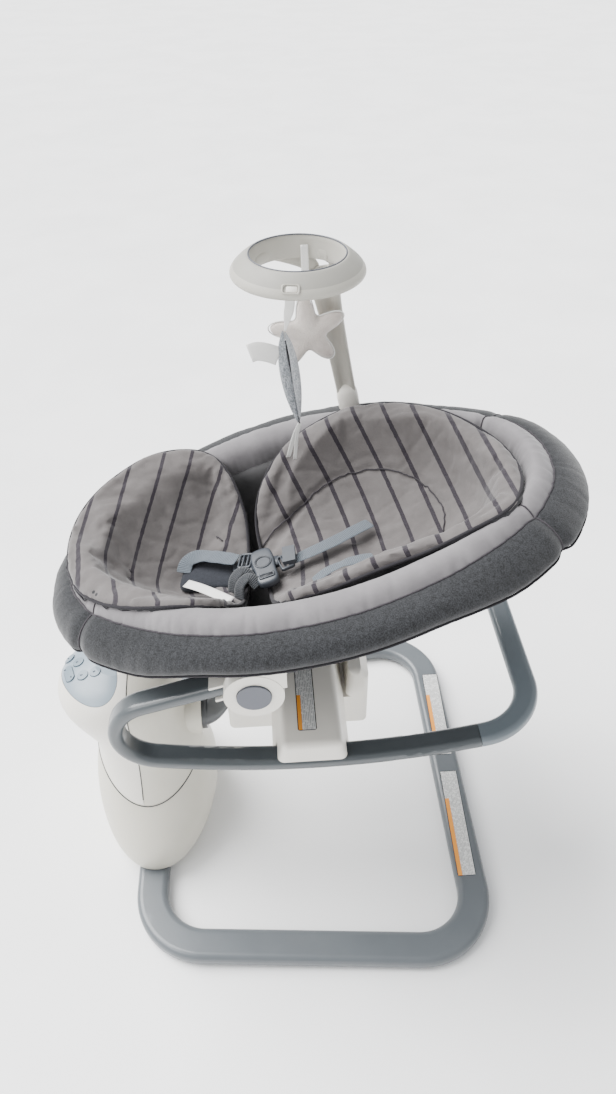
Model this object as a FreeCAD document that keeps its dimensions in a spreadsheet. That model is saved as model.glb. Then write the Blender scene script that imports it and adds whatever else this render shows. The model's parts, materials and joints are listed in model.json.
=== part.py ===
import FreeCAD, Part
import math
import os
import re
import Sketcher
from FreeCAD import Placement, Rotation, Vector

# Baby swing: a floor loop runs into a tower; the tower's swing arm carries a mount; a rocker frame
# drops onto the mount, and a padded oval seat reclines between the rocker's two hubs.
# Origin: on the floor, under the middle of the seat. +X towards the child's head, +Z up.

doc = FreeCAD.newDocument("baby_swing")

# ---------------------------------------------------------------- driving dimensions (mm, degrees)
DIMENSIONS = {
    # floor loop
    "loop_half_length": 237.0, "loop_front_reach": 253.0, "loop_head_reach": 294.0,
    "loop_corner": 85.0, "loop_tube_width": 46.0, "loop_tube_height": 24.0,
    "loop_tube_round": 9.5, "loop_wall": 1.6, "loop_end_reach": 105.0, "pad_height": 2.0,
    # tower
    "tower_center": -232.0, "shell_wall": 3.0, "shell_gap": 0.6, "seam_position": -240.0,
    "collar_height": 133.0, "collar_front": -103.0, "collar_slope": 27.0,
    "panel_level": 300.0, "panel_half_length": 62.0, "panel_half_width": 35.0,
    "button_radius": 7.5, "button_gap": 0.4, "rocker_key_length": 30.0,
    "rocker_key_width": 12.0,
    # sway drive
    "sway_height": 215.0, "shaft_radius": 9.0, "running_gap": 0.05, "bearing_radius": 13.0,
    "bearing_width": 8.0, "boss_radius": 34.0, "arm_hub_radius": 27.0, "wheel_radius": 26.0,
    "worm_radius": 7.0, "wheel_teeth": 24.0,
    # seat mount
    "mount_width": 116.0, "mount_floor": 298.0, "mount_bottom": 243.0,
    # rocker frame
    "rail_spacing": 165.0, "rail_width": 31.0, "rail_thickness": 18.0, "rail_round": 8.0,
    "rail_wall": 1.5, "rail_curve": 950.0, "rail_low": 318.0, "rail_low_position": 10.0,
    "rail_foot_end": -188.0, "rail_head_end": 216.0, "cross_reach": 73.0, "cross_corner": 66.0,
    "grip_width": 20.0, "grip_thickness": 3.0, "bridge_length": 362.0, "bridge_wall": 3.0,
    # hubs
    "hub_position": -61.0, "hub_height": 482.0, "return_slope": 16.5, "socket_radius": 26.0,
    "disc_radius": 34.0, "disc_thickness": 16.5, "cap_radius": 19.5, "pin_radius": 8.0,
    # seat
    "seat_position": 8.0, "seat_height": 578.0, "recline_angle": 13.0,
    "rim_half_width": 190.0, "rim_end_radius": 135.0, "rim_end_center": 163.0,
    "rim_outward": 39.0, "rim_inward": 42.0, "rim_rise": 17.0, "rim_drop": 40.0,
    "ring_tube_radius": 11.0, "ring_wall": 1.5, "ring_level": -18.0,
    "webbing_width": 22.0, "webbing_thickness": 2.5,
    # mobile
    "post_foot_x": 82.0, "post_foot_y": 205.0, "post_foot_z": 612.0,
    "halo_x": 12.0, "halo_y": 115.0, "halo_top": 855.0, "halo_opening": 54.0,
    "halo_outer": 77.0, "halo_depth": 29.0,
}

sheet = doc.addObject("Spreadsheet::Sheet", "Dimensions")
for row, (alias, value) in enumerate(DIMENSIONS.items(), start=1):
    sheet.set("A%d" % row, alias)
    sheet.set("B%d" % row, str(value))
    sheet.setAlias("B%d" % row, alias)
doc.recompute()

D = type("Dims", (), DIMENSIONS)
NODES = []
LETTERS = "abcdefghijklm"


# ---------------------------------------------------------------- helpers
def bind(obj, prop, expression):
    """Bind a property to an expression that names cells of the sheet by alias."""
    words = re.sub(r"[a-z]+(?:_[a-z]+)+", lambda m: "Dimensions." + m.group(0), str(expression))
    obj.setExpression(prop, words)


def turn(axis):
    """Rotation that points an object's own +Z along a world axis."""
    return {"x": Rotation(Vector(0, 1, 0), 90), "y": Rotation(Vector(1, 0, 0), -90),
            "z": Rotation()}[axis]


def node(obj, name=None):
    """Register an object as a sub-part; its label names its file."""
    obj.Label = name or obj.Name
    NODES.append(obj)
    return obj


def box(name, length, width, height, corner, rotation=None):
    obj = doc.addObject("Part::Box", name)
    for prop, value in (("Length", length), ("Width", width), ("Height", height)):
        bind(obj, prop, value)
    obj.Placement = Placement(Vector(*corner), rotation or Rotation())
    return obj


def cylinder(name, radius, height, base, axis="z"):
    obj = doc.addObject("Part::Cylinder", name)
    bind(obj, "Radius", radius)
    bind(obj, "Height", height)
    obj.Placement = Placement(Vector(*base), turn(axis))
    return obj


def fuse(name, *shapes):
    obj = doc.addObject("Part::MultiFuse", name)
    obj.Shapes = list(shapes)
    return obj


def group(name, *shapes):
    """Several separate solids in one sub-part."""
    obj = doc.addObject("Part::Compound", name)
    obj.Links = list(shapes)
    return obj


def cut(name, base, *tools):
    obj = doc.addObject("Part::Cut", name)
    obj.Base = base
    obj.Tool = tools[0] if len(tools) == 1 else fuse(name + "_tools", *tools)
    return obj


def common(name, base, tool):
    obj = doc.addObject("Part::Common", name)
    obj.Base = base
    obj.Tool = tool
    return obj


def ellipse(name, major, minor, placement):
    obj = doc.addObject("Part::Ellipse", name)
    bind(obj, "MajorRadius", major)
    bind(obj, "MinorRadius", minor)
    obj.Placement = placement
    return obj


def loft(name, sections):
    obj = doc.addObject("Part::Loft", name)
    obj.Sections = sections
    obj.Solid = True
    return obj


def plane_of(body, role):
    return next(f for f in body.Origin.OriginFeatures if f.Role == role)


def sketch_on(body, name, role, offset=(0, 0, 0), rotation=None):
    sketch = body.newObject("Sketcher::SketchObject", name)
    sketch.AttachmentSupport = (plane_of(body, role), [""])
    sketch.MapMode = "FlatFace"
    sketch.AttachmentOffset = Placement(Vector(*offset), rotation or Rotation())
    return sketch


def draw_rounded_rectangle(sketch, width, height, radius, values):
    """Rounded rectangle about the sketch origin, fully constrained and bound to the sheet."""
    w, h, r = values[0] / 2, values[1] / 2, values[2]
    corners = [(w - r, -h + r, -90), (w - r, h - r, 0), (-w + r, h - r, 90), (-w + r, -h + r, 180)]
    lines = [((-w + r, -h), (w - r, -h)), ((w, -h + r), (w, h - r)),
             ((w - r, h), (-w + r, h)), ((-w, h - r), (-w, -h + r))]
    for (start, end), (cx, cy, angle) in zip(lines, corners):
        sketch.addGeometry(Part.LineSegment(Vector(*start, 0), Vector(*end, 0)), False)
        circle = Part.Circle(Vector(cx, cy, 0), Vector(0, 0, 1), r)
        sketch.addGeometry(Part.ArcOfCircle(circle, math.radians(angle), math.radians(angle + 90)), False)
    for i in range(8):
        sketch.addConstraint(Sketcher.Constraint("Tangent", i, 2, (i + 1) % 8, 1))
    for line, kind in ((0, "Horizontal"), (4, "Horizontal"), (2, "Vertical"), (6, "Vertical")):
        sketch.addConstraint(Sketcher.Constraint(kind, line))
    for arc in (3, 5, 7):
        sketch.addConstraint(Sketcher.Constraint("Equal", 1, arc))
    sketch.addConstraint(Sketcher.Constraint("Symmetric", 1, 3, 5, 3, -1, 1))
    named = (("section_width", "DistanceX", (6, 1, 2, 1), 2 * w, width),
             ("section_height", "DistanceY", (0, 1, 4, 1), 2 * h, height),
             ("section_round", "Radius", (1,), r, radius))
    for label, kind, where, value, expression in named:
        index = sketch.addConstraint(Sketcher.Constraint(kind, *where, value))
        sketch.renameConstraint(index, label)
        bind(sketch, "Constraints." + label, expression)


def rounded_path(points, radius):
    """Lines and tangent arcs through corner points; returns (geometry, runs backwards) pairs."""
    pts = [Vector(*p, 0) for p in points]
    pieces, start = [], pts[0]
    for before, corner, after in zip(pts, pts[1:], pts[2:]):
        u, v = (before - corner).normalize(), (after - corner).normalize()
        half = u.getAngle(v) / 2
        t0, t1 = corner + u * (radius / math.tan(half)), corner + v * (radius / math.tan(half))
        center = corner + (u + v).normalize() * (radius / math.sin(half))
        backwards = u.cross(v).z > 0
        a0, a1 = [math.atan2(p.y - center.y, p.x - center.x) for p in (t0, t1)]
        if backwards:
            a0, a1 = a1, a0
        if a1 < a0:
            a1 += 2 * math.pi
        arc = Part.ArcOfCircle(Part.Circle(center, Vector(0, 0, 1), radius), a0, a1)
        pieces += [(Part.LineSegment(start, t0), False), (arc, backwards)]
        start = t1
    return pieces + [(Part.LineSegment(start, pts[-1]), False)]


def draw_path(sketch, pieces, radius=None):
    """Add a chain of lines and arcs, joined end to end, with its arcs bound to one radius."""
    for i, (geometry, backwards) in enumerate(pieces):
        sketch.addGeometry(geometry, False)
        if i:
            last = 1 if pieces[i - 1][1] else 2
            sketch.addConstraint(Sketcher.Constraint("Coincident", i - 1, last, i, 2 if backwards else 1))
        if radius and isinstance(geometry, Part.ArcOfCircle):
            label = "bend_" + LETTERS[i]
            index = sketch.addConstraint(Sketcher.Constraint("Radius", i, geometry.Radius))
            sketch.renameConstraint(index, label)
            bind(sketch, "Constraints." + label, radius)


def hollow_tube(name, path_plane, path_offset, pieces, profile_plane, profile_offset, section, wall,
                bend=None, profile_turn=None, placement=None):
    """A tube swept along a planar path: outer section added, inner section taken away."""
    body = doc.addObject("PartDesign::Body", name)
    path = sketch_on(body, name + "_path", path_plane, path_offset)
    draw_path(path, pieces, bend)
    edges = ["Edge%d" % (i + 1) for i in range(len(pieces))]
    width, height, radius = section
    inset = getattr(D, wall)
    for kind, shrink in (("AdditivePipe", 0), ("SubtractivePipe", 1)):
        profile = sketch_on(body, "%s_%s_section" % (name, kind), profile_plane, profile_offset,
                            profile_turn)
        values = [getattr(D, width) - 2 * shrink * inset, getattr(D, height) - 2 * shrink * inset,
                  getattr(D, radius) - shrink * inset]
        expressions = [width, height, radius]
        if shrink:
            expressions = ["%s - 2 * %s" % (width, wall), "%s - 2 * %s" % (height, wall),
                           "%s - %s" % (radius, wall)]
        draw_rounded_rectangle(profile, *expressions, values)
        doc.recompute()
        pipe = body.newObject("PartDesign::" + kind, "%s_%s" % (name, kind))
        pipe.Profile = profile
        pipe.Spine = (path, edges)
        body.Tip = pipe
        doc.recompute()
    if placement:
        body.Placement = placement
    return body


def draw_polygon(sketch, points):
    count = len(points)
    for a, b in zip(points, points[1:] + points[:1]):
        sketch.addGeometry(Part.LineSegment(Vector(*a, 0), Vector(*b, 0)), False)
    for i in range(count):
        sketch.addConstraint(Sketcher.Constraint("Coincident", i, 2, (i + 1) % count, 1))


def padded_profile(name, role, offset, points, length):
    """A polygon padded evenly to both sides of its plane."""
    body = doc.addObject("PartDesign::Body", name)
    sketch = sketch_on(body, name + "_outline", role, offset)
    draw_polygon(sketch, points)
    pad = body.newObject("PartDesign::Pad", name + "_pad")
    pad.Profile = sketch
    pad.Midplane = 1
    bind(pad, "Length", length)
    body.Tip = pad
    doc.recompute()
    return body


def round_edges(body, radius, choose):
    """Fillet the edges of a body's tip that the test picks by their middle point and direction."""
    tip = body.Tip
    picked = []
    for i, edge in enumerate(tip.Shape.Edges):
        middle = edge.valueAt((edge.FirstParameter + edge.LastParameter) / 2)
        run = edge.Vertexes[-1].Point - edge.Vertexes[0].Point
        if choose(middle, run):
            picked.append("Edge%d" % (i + 1))
    fillet = body.newObject("PartDesign::Fillet", body.Name + "_round")
    fillet.Base = (tip, picked)
    fillet.Radius = radius
    body.Tip = fillet
    doc.recompute()


SEAT = Placement(Vector(D.seat_position, 0, D.seat_height), Rotation(Vector(0, 1, 0), -D.recline_angle))


def seat_point(u, v, w):
    """A point given along the seat, across it and square to its rim, in the model's frame."""
    return SEAT.multVec(Vector(u, v, w))


# ---------------------------------------------------------------- floor loop
def floor_loop():
    mid_height = D.pad_height + D.loop_tube_height / 2
    side, near, wide = D.loop_half_length, D.loop_front_reach, D.loop_head_reach
    corners = [(-side, -D.loop_end_reach), (-side, -near), (side, -wide), (side, wide), (-side, near),
               (-side, D.loop_end_reach)]
    pieces = rounded_path(corners, D.loop_corner)
    node(hollow_tube("base_loop", "XY_Plane", (0, 0, mid_height), pieces,
                     "XZ_Plane", (-side, mid_height, D.loop_end_reach),
                     ("loop_tube_width", "loop_tube_height", "loop_tube_round"), "loop_wall",
                     "loop_corner"))
    pads = []
    pad_length, pad_width = 60, 24
    for i, (x, y) in enumerate(((-120, -263.5), (120, -284.5), (-120, 263.5), (120, 284.5))):
        angle = math.copysign(4.9, -y * 1.0)
        tilt = Rotation(Vector(0, 0, 1), angle if y < 0 else -angle)
        corner = Vector(x, y, 0) + tilt.multVec(Vector(-pad_length / 2, -pad_width / 2, 0))
        pads.append(box("base_pad_%s" % LETTERS[i], pad_length, pad_width, "pad_height", corner, tilt))
    node(group("base_feet", *pads))


# ---------------------------------------------------------------- tower
# height, middle along X, half width along X, half width along Y
TOWER_SECTIONS = [(2, -232, 62, 122), (22, -232, 80, 145), (60, -232, 91, 146), (98, -232, 92, 126),
                  (135, -232, 87, 103), (170, -232, 80, 86), (205, -236, 76, 77), (240, -248, 78, 79),
                  (272, -258, 83, 84), (298, -262, 84, 85), (318, -262, 72, 74), (332, -260, 47, 50),
                  (338, -259, 28, 30)]


def tower_form(name, grow, lift):
    """The tower's outer form, grown sideways and with its crown lifted."""
    sections = []
    for i, (height, middle, half_x, half_y) in enumerate(TOWER_SECTIONS):
        raised = lift if i >= len(TOWER_SECTIONS) - 3 else 0
        place = Placement(Vector(middle, 0, height + raised), Rotation(Vector(0, 0, 1), 90))
        sections.append(ellipse("%s_ring_%s" % (name, LETTERS[i]), "%s + (%s)" % (half_y, grow),
                                "%s + (%s)" % (half_x, grow), place))
    return loft(name, sections)


# name, middle x, middle y; round keys on the panel
ROUND_KEYS = (("timer_button", -330, 22), ("music_button", -313, 5),
              ("sound_button", -303, -21), ("power_button", -285, -20))
# name, middle x, middle y, turn about Z; two-way pill keys
PILL_KEYS = (("speed_rocker", -325, -10, 110.5), ("volume_rocker", -299, 25, 115))


def key_blank(name, x, y, angle, clearance):
    """Upright prism of a key's outline; round keys have no angle."""
    bottom, height = D.panel_level - 4, 60
    if angle is None:
        return cylinder(name, "button_radius + %s" % clearance, height, (x, y, bottom))
    span = D.rocker_key_length - D.rocker_key_width
    run = Rotation(Vector(0, 0, 1), angle).multVec(Vector(span / 2, 0, 0))
    ends = [cylinder("%s_end_%s" % (name, tag), "rocker_key_width / 2 + %s" % clearance, height,
                     (x + sign * run.x, y + sign * run.y, bottom)) for tag, sign in (("a", 1), ("b", -1))]
    rotation = Rotation(Vector(0, 0, 1), angle)
    half_width = D.rocker_key_width / 2 + clearance
    corner = Vector(x, y, bottom) + rotation.multVec(Vector(-span / 2, -half_width, 0))
    middle = box(name + "_middle", "rocker_key_length - rocker_key_width",
                 "rocker_key_width + 2 * %s" % clearance, height, corner, rotation)
    return fuse(name, *ends, middle)


def tower():
    form = tower_form("tower_form", "0", 0)
    core = tower_form("tower_core", "-shell_wall", -D.shell_wall)
    skin = cut("tower_skin", form, core)
    tilt = Rotation(Vector(1, 0, 0), D.collar_slope)
    spaces = {}
    for name, lift in (("collar_space", 0.0), ("collar_space_upper", D.shell_gap)):
        corner = Vector(-500, D.collar_front, D.collar_height) + tilt.multVec(Vector(0, -400, lift))
        spaces[name] = box(name, 600, 1000, 600, corner, tilt)
    side_gap, depth = D.shell_gap / 2, 600
    inner_side = box("inner_side", depth, depth, depth, (D.seam_position + side_gap, -300, 0))
    inner_clear = box("inner_clear", depth, depth, depth, (D.seam_position - side_gap, -300, 0))
    panel_prisms = {}
    for name, grow in (("panel_space", "0"), ("panel_clear", "shell_gap")):
        ends = [ellipse("%s_%s" % (name, tag), "panel_half_length + " + grow, "panel_half_width + " + grow,
                        Placement(Vector(-297, -12, level), Rotation(Vector(0, 0, 1), 120)))
                for tag, level in (("low", D.panel_level), ("high", D.panel_level + 80))]
        panel_prisms[name] = loft(name, ends)

    slot_width, slot_height = D.loop_tube_width + 0.6, D.loop_tube_height + 0.6
    slot = box("loop_slot", "loop_tube_width + 0.6", 340, "loop_tube_height + 0.6",
               (-D.loop_half_length - slot_width / 2, -170, D.pad_height - 0.3))
    inlet_place = (-257, 120, 45)
    inlet_hole = cylinder("inlet_hole", 6.2, 40, inlet_place, "y")
    boss_clear = cylinder("boss_clear", "boss_radius + shell_gap", 130, (-190, 0, D.sway_height), "x")
    node(cut("tower_lower_housing", skin, spaces["collar_space"], slot, inlet_hole, boss_clear))
    node(cut("power_inlet", cylinder("inlet_barrel", 6, 21, inlet_place, "y"),
             cylinder("inlet_socket", 3, 16, (inlet_place[0], inlet_place[1] + 5, inlet_place[2]), "y")))

    upper = common("tower_upper_skin", skin, spaces["collar_space_upper"])
    node(cut("tower_outer_shell", upper, inner_clear, panel_prisms["panel_clear"]))

    boss_front, boss_back = -150, -178
    boss_length = boss_front - boss_back
    sway_axis = (boss_back, 0, D.sway_height)
    boss_solid = cylinder("boss_solid", "boss_radius", boss_length, sway_axis, "x")
    boss_hollow = cylinder("boss_hollow", "arm_hub_radius + 0.6", boss_length,
                           (boss_back + D.bearing_width, 0, D.sway_height), "x")
    boss_bore = cylinder("boss_bore", "bearing_radius", boss_length, sway_axis, "x")
    boss = cut("boss_tube", boss_solid, boss_hollow, boss_bore)
    inner_half = cut("tower_inner_half", common("tower_inner_part", upper, inner_side),
                     cylinder("boss_space", "boss_radius", 120, sway_axis, "x"))
    node(fuse("tower_inner_shell", inner_half, boss))

    holes = []
    raised = cut("key_skin", tower_form("key_form", "1.4", 1.4), core)
    keys = [(name, x, y, None) for name, x, y in ROUND_KEYS] + list(PILL_KEYS)
    for name, x, y, angle in keys:
        holes.append(key_blank(name + "_hole", x, y, angle, D.button_gap))
        node(common(name, raised, key_blank(name + "_blank", x, y, angle, 0)))
    panel = common("panel_skin", upper, panel_prisms["panel_space"])
    node(cut("control_panel", panel, *holes))
    return core


def tower_inside(core):
    """What the tower holds: cover, cells, board, speaker and the sway drive."""
    cover_thickness = 3
    door = box("battery_door", 84, 140, cover_thickness - 1, (-274, -70, 2.5))
    cover_floor = common("cover_floor", core, box("cover_slice", 300, 400, cover_thickness, (-380, -200, 2)))
    door_space = box("door_space", 84.6, 140.6, cover_thickness + 2, (-274.3, -70.3, 1))
    screws, screw_holes = [], []
    for i, (x, y) in enumerate(((-262, -88), (-202, -88), (-262, 88), (-202, 88))):
        head = cylinder("screw_head_%s" % LETTERS[i], 4, 2.6, (x, y, 2.4))
        shank = cylinder("screw_shank_%s" % LETTERS[i], 2, 16, (x, y, 5))
        screws.append(fuse("screw_%s" % LETTERS[i], head, shank))
        screw_holes.append(cylinder("screw_hole_%s" % LETTERS[i], 4.2, 8, (x, y, 0)))
    loop_spaces = [box("cover_slot_" + tag, "loop_tube_width + 0.6", 100, 10,
                       (-D.loop_half_length - D.loop_tube_width / 2 - 0.3, y, 0))
                   for tag, y in (("near", -D.loop_end_reach - 99.5), ("far", D.loop_end_reach - 0.5))]
    node(cut("tower_bottom_cover", cover_floor, door_space, *loop_spaces, *screw_holes))
    node(door)
    node(group("tower_screws", *screws))
    cells = [cylinder("cell_%s" % LETTERS[i], 16.5, 61, (x, y, 23), "y")
             for i, (x, y) in enumerate(((-250, -64), (-214, -64), (-250, 3), (-214, 3)))]
    node(group("battery_cells", *cells))
    node(box("circuit_board", 56, 84, 1.6, (-318, -42, 279)))
    node(fuse("speaker", cylinder("speaker_cone", 22, 6, (-300, 0, 160), "x"),
              cylinder("speaker_magnet", 13, 11, (-294, 0, 160), "x")))

    bracket_x = -222
    bracket_plate = box("bracket_plate", "bearing_width", 120, 118, (bracket_x, -60, 142))
    wheel_x, wheel_z = -211, D.sway_height - 62
    node(cut("gear_bracket", bracket_plate,
             cylinder("bracket_bore", "bearing_radius", 20, (bracket_x - 5, 0, D.sway_height), "x")))
    rings = []
    for tag, x in (("inner", -178), ("outer", bracket_x)):
        rings.append(cut("bearing_" + tag,
                         cylinder("bearing_race_" + tag, "bearing_radius", "bearing_width",
                                  (x, 0, D.sway_height), "x"),
                         cylinder("bearing_bore_" + tag, "shaft_radius + running_gap", "3 * bearing_width",
                                  (x - D.bearing_width, 0, D.sway_height), "x")))
    node(group("pivot_bearings", *rings))

    wheel = doc.addObject("PartDesign::Body", "crank_wheel")
    disc_sketch = sketch_on(wheel, "wheel_outline", "YZ_Plane", (0, wheel_z, wheel_x))
    disc_sketch.addGeometry(Part.Circle(Vector(0, 0, 0), Vector(0, 0, 1), D.wheel_radius), False)
    disc_sketch.addConstraint(Sketcher.Constraint("Coincident", 0, 3, -1, 1))
    disc_sketch.addConstraint(Sketcher.Constraint("Radius", 0, D.wheel_radius))
    bind(disc_sketch, "Constraints[1]", "wheel_radius")
    disc = wheel.newObject("PartDesign::Pad", "wheel_disc")
    disc.Profile = disc_sketch
    disc.Length = 8
    doc.recompute()
    gap_sketch = sketch_on(wheel, "tooth_gap", "YZ_Plane", (0, wheel_z, wheel_x))
    tooth_depth, mouth, root = 2.6, 2.1, 1.1
    outer, inner = D.wheel_radius + 0.5, D.wheel_radius - tooth_depth
    draw_polygon(gap_sketch, [(-mouth, outer), (-root, inner), (root, inner), (mouth, outer)])
    gap = wheel.newObject("PartDesign::Pocket", "tooth_gap_cut")
    gap.Profile = gap_sketch
    gap.Type = 1
    gap.Midplane = 1
    doc.recompute()
    pattern = wheel.newObject("PartDesign::PolarPattern", "teeth")
    pattern.Originals = [gap]
    pattern.Axis = (disc_sketch, ["N_Axis"])
    pattern.Angle = 360
    pattern.Occurrences = int(D.wheel_teeth)
    wheel.Tip = pattern
    doc.recompute()
    pin_reach = 12
    node(fuse("drive_wheel", wheel,
              cylinder("crank_pin", 3, 10, (wheel_x + 8, pin_reach, wheel_z), "x")))
    worm_z = wheel_z - D.wheel_radius - D.worm_radius - 0.6
    grooves = [cut("worm_groove_%s" % LETTERS[i],
                   cylinder("worm_groove_outer_%s" % LETTERS[i], "worm_radius + 1", 2,
                            (wheel_x + 4, -12 + 4.4 * i, worm_z), "y"),
                   cylinder("worm_groove_core_%s" % LETTERS[i], "worm_radius - 2.2", 2,
                            (wheel_x + 4, -12 + 4.4 * i, worm_z), "y")) for i in range(6)]
    worm_blank = cylinder("worm_blank", "worm_radius", 30, (wheel_x + 4, -15, worm_z), "y")
    node(cut("drive_worm", worm_blank, *grooves))
    node(fuse("drive_motor", cylinder("motor_can", 17, 48, (wheel_x + 4, 22, worm_z), "y"),
              cylinder("motor_nose", 5, 6, (wheel_x + 4, 16, worm_z), "y")))


# ---------------------------------------------------------------- swing arm and seat mount
def swing_arm():
    node(cylinder("pivot_shaft", "shaft_radius", 84, (-226, 0, D.sway_height), "x"))
    hub = cylinder("arm_hub", "arm_hub_radius", 26, (-169, 0, D.sway_height), "x")
    to_yz = Rotation(Vector(1, 1, 1), 120)
    sections = [ellipse("arm_section_%s" % LETTERS[i], half_y, half_z, Placement(Vector(x, 0, z), to_yz))
                for i, (x, z, half_y, half_z) in enumerate(((-149, 216, 25, 22), (-136, 222, 27, 20),
                                                             (-121, 238, 29, 19), (-107, 262, 30, 18)))]
    node(cut("swing_arm", fuse("arm_solid", hub, loft("arm_beam", sections)),
             cylinder("arm_bore", "shaft_radius", 200, (-226, 0, D.sway_height), "x")))

    low, floor = D.mount_bottom, D.mount_floor
    outline = [(-107, low), (89, low), (89, 336), (78, 350), (61, 350), (58, floor), (-50, floor),
               (-54, 326), (-98, 322), (-107, 312)]
    mount = padded_profile("mount_form", "XZ_Plane", (0, 0, 0), outline, "mount_width")
    half = D.mount_width / 2
    round_edges(mount, 9, lambda p, run: abs(abs(p.y) - half) < 0.1 and not -52 < p.x < 59)
    pocket_sketch = sketch_on(mount, "latch_pocket_outline", "YZ_Plane", (0, 285, 90))
    draw_polygon(pocket_sketch, [(-21, -9), (21, -9), (21, 9), (-21, 9)])
    pocket = mount.newObject("PartDesign::Pocket", "latch_pocket")
    pocket.Profile = pocket_sketch
    pocket.Length = 22
    pocket.Reversed = False
    mount.Tip = pocket
    doc.recompute()
    hollow = box("mount_hollow", 148, "mount_width - 10", 46, (-84, 5 - half, low - 1))
    node(cut("seat_mount", mount, hollow))
    node(box("mount_latch", 17, 41, 17, (74, -20.5, 276.5)))


# ---------------------------------------------------------------- rocker frame
def rail_height(x):
    return D.rail_low + D.rail_curve - math.sqrt(D.rail_curve ** 2 - (x - D.rail_low_position) ** 2)


def rail_pieces():
    """Return branch from the hub, foot-end bend, then the long rocking curve, in the rail's plane."""
    slope = math.radians(D.return_slope)
    center = Vector(D.rail_low_position, D.rail_low + D.rail_curve, 0)
    foot = Vector(D.rail_foot_end, rail_height(D.rail_foot_end), 0)
    head = Vector(D.rail_head_end, rail_height(D.rail_head_end), 0)
    inward = (center - foot).normalize()
    across = Vector(-math.sin(slope), math.cos(slope), 0)
    hub = Vector(D.hub_position, D.hub_height, 0)
    bend = (hub - foot).dot(across) / (1 + inward.dot(across))
    bend_center = foot + inward * bend
    turn_in = bend_center + across * bend
    start = hub - Vector(math.cos(slope), math.sin(slope), 0) * (D.socket_radius + 2)
    circle = Part.Circle(bend_center, Vector(0, 0, 1), bend)
    first = math.atan2(across.y, across.x)
    last = math.atan2(-inward.y, -inward.x) + 2 * math.pi
    sweep = Part.Circle(center, Vector(0, 0, 1), D.rail_curve)
    a0 = math.atan2(foot.y - center.y, foot.x - center.x)
    a1 = math.atan2(head.y - center.y, head.x - center.x)
    return [(Part.LineSegment(start, turn_in), False), (Part.ArcOfCircle(circle, first, last), False),
            (Part.ArcOfCircle(sweep, a0, a1), False)], start


def rocker():
    section = ("rail_width", "rail_thickness", "rail_round")
    pieces, start = rail_pieces()
    tilt = Rotation(Vector(1, 0, 0), -D.return_slope)
    for name, side in (("near_rail", -1), ("far_rail", 1)):
        y = side * D.rail_spacing
        node(hollow_tube(name, "XZ_Plane", (0, 0, -y), pieces, "YZ_Plane", (y, start.y, start.x),
                         section, "rail_wall", profile_turn=tilt))
    head_z = rail_height(D.rail_head_end)
    rise = math.degrees(math.asin((D.rail_head_end - D.rail_low_position) / D.rail_curve))
    spacing, reach, seam = D.rail_spacing, D.cross_reach, 0.5
    corners = [(seam, -spacing), (reach, -spacing), (reach, spacing), (seam, spacing)]
    cross_place = Placement(Vector(D.rail_head_end, 0, head_z), Rotation(Vector(0, 1, 0), -rise))
    node(hollow_tube("head_cross_tube", "XY_Plane", (0, 0, 0), rounded_path(corners, D.cross_corner),
                     "YZ_Plane", (-spacing, 0, seam), section, "rail_wall", "cross_corner",
                     placement=cross_place))
    node(group("rail_grips", *[rail_grip(name, side) for name, side in (("near_grip", -1), ("far_grip", 1))]))
    bridge()
    for name, side in (("near", -1), ("far", 1)):
        hub_socket(name, side)


def rail_grip(name, side):
    """Rubber strip along the underside of a rail, turned about the centre of the rocking curve."""
    body = doc.addObject("PartDesign::Body", name)
    half, y = D.grip_width / 2, side * D.rail_spacing
    top = D.rail_low - D.rail_thickness / 2
    sketch = sketch_on(body, name + "_section", "YZ_Plane", (y, 0, D.rail_low_position))
    draw_polygon(sketch, [(-half, top - D.grip_thickness), (half, top - D.grip_thickness), (half, top),
                          (-half, top)])
    level = D.rail_low + D.rail_curve
    sketch.addGeometry(Part.LineSegment(Vector(-50, level, 0), Vector(50, level, 0)), True)
    strip = body.newObject("PartDesign::Revolution", name + "_strip")
    strip.Profile = sketch
    strip.ReferenceAxis = (sketch, ["Axis0"])
    strip.Angle = 11.6
    strip.Midplane = True
    body.Tip = strip
    doc.recompute()
    return body


def bridge():
    """Housing across both rails: sloping sides, rounded crown, ends that sit on the rails."""
    low, high, rail_top = 301, 362, 330
    outline = [(-46, low), (54, low), (41, high), (-33, high)]
    outer = padded_profile("bridge_form", "XZ_Plane", (0, 0, 0), outline, "bridge_length")
    half = D.bridge_length / 2
    round_edges(outer, 9, lambda p, run: p.z > high - 1 or (abs(abs(p.y) - half) < 0.5 and p.z > low + 5))
    inner = padded_profile("bridge_hollow", "XZ_Plane", (0, 0, 0),
                           [(-42, low - 1), (50, low - 1), (38, high - 3), (-30, high - 3)], "bridge_length - 80")
    rail_inside = D.rail_spacing - D.rail_width / 2 - 0.8
    notch_depth = rail_top - low + 5
    notches = [box("rail_notch_" + tag, 200, 60, notch_depth, (-100, y, low - 5))
               for tag, y in (("near", -rail_inside - 60), ("far", rail_inside))]
    key = (4, 128)
    key_hole = cylinder("vibration_hole", 11.4, 40, (key[0], key[1], high - 12))
    key_stem = 8
    node(cut("bridge_housing", outer, inner, *notches, key_hole))
    node(cylinder("vibration_button", 11, key_stem, (key[0], key[1], high - key_stem + 1.5)))
    node(box("bridge_cover", 88, "bridge_length - 84", 2.5, (-40, -139, low)))
    node(fuse("vibration_motor", box("vibration_case", 46, 60, 30, (-19, -30, low + 4)),
              cylinder("vibration_can", 11, 26, (4, 32, low + 18), "y")))


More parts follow.
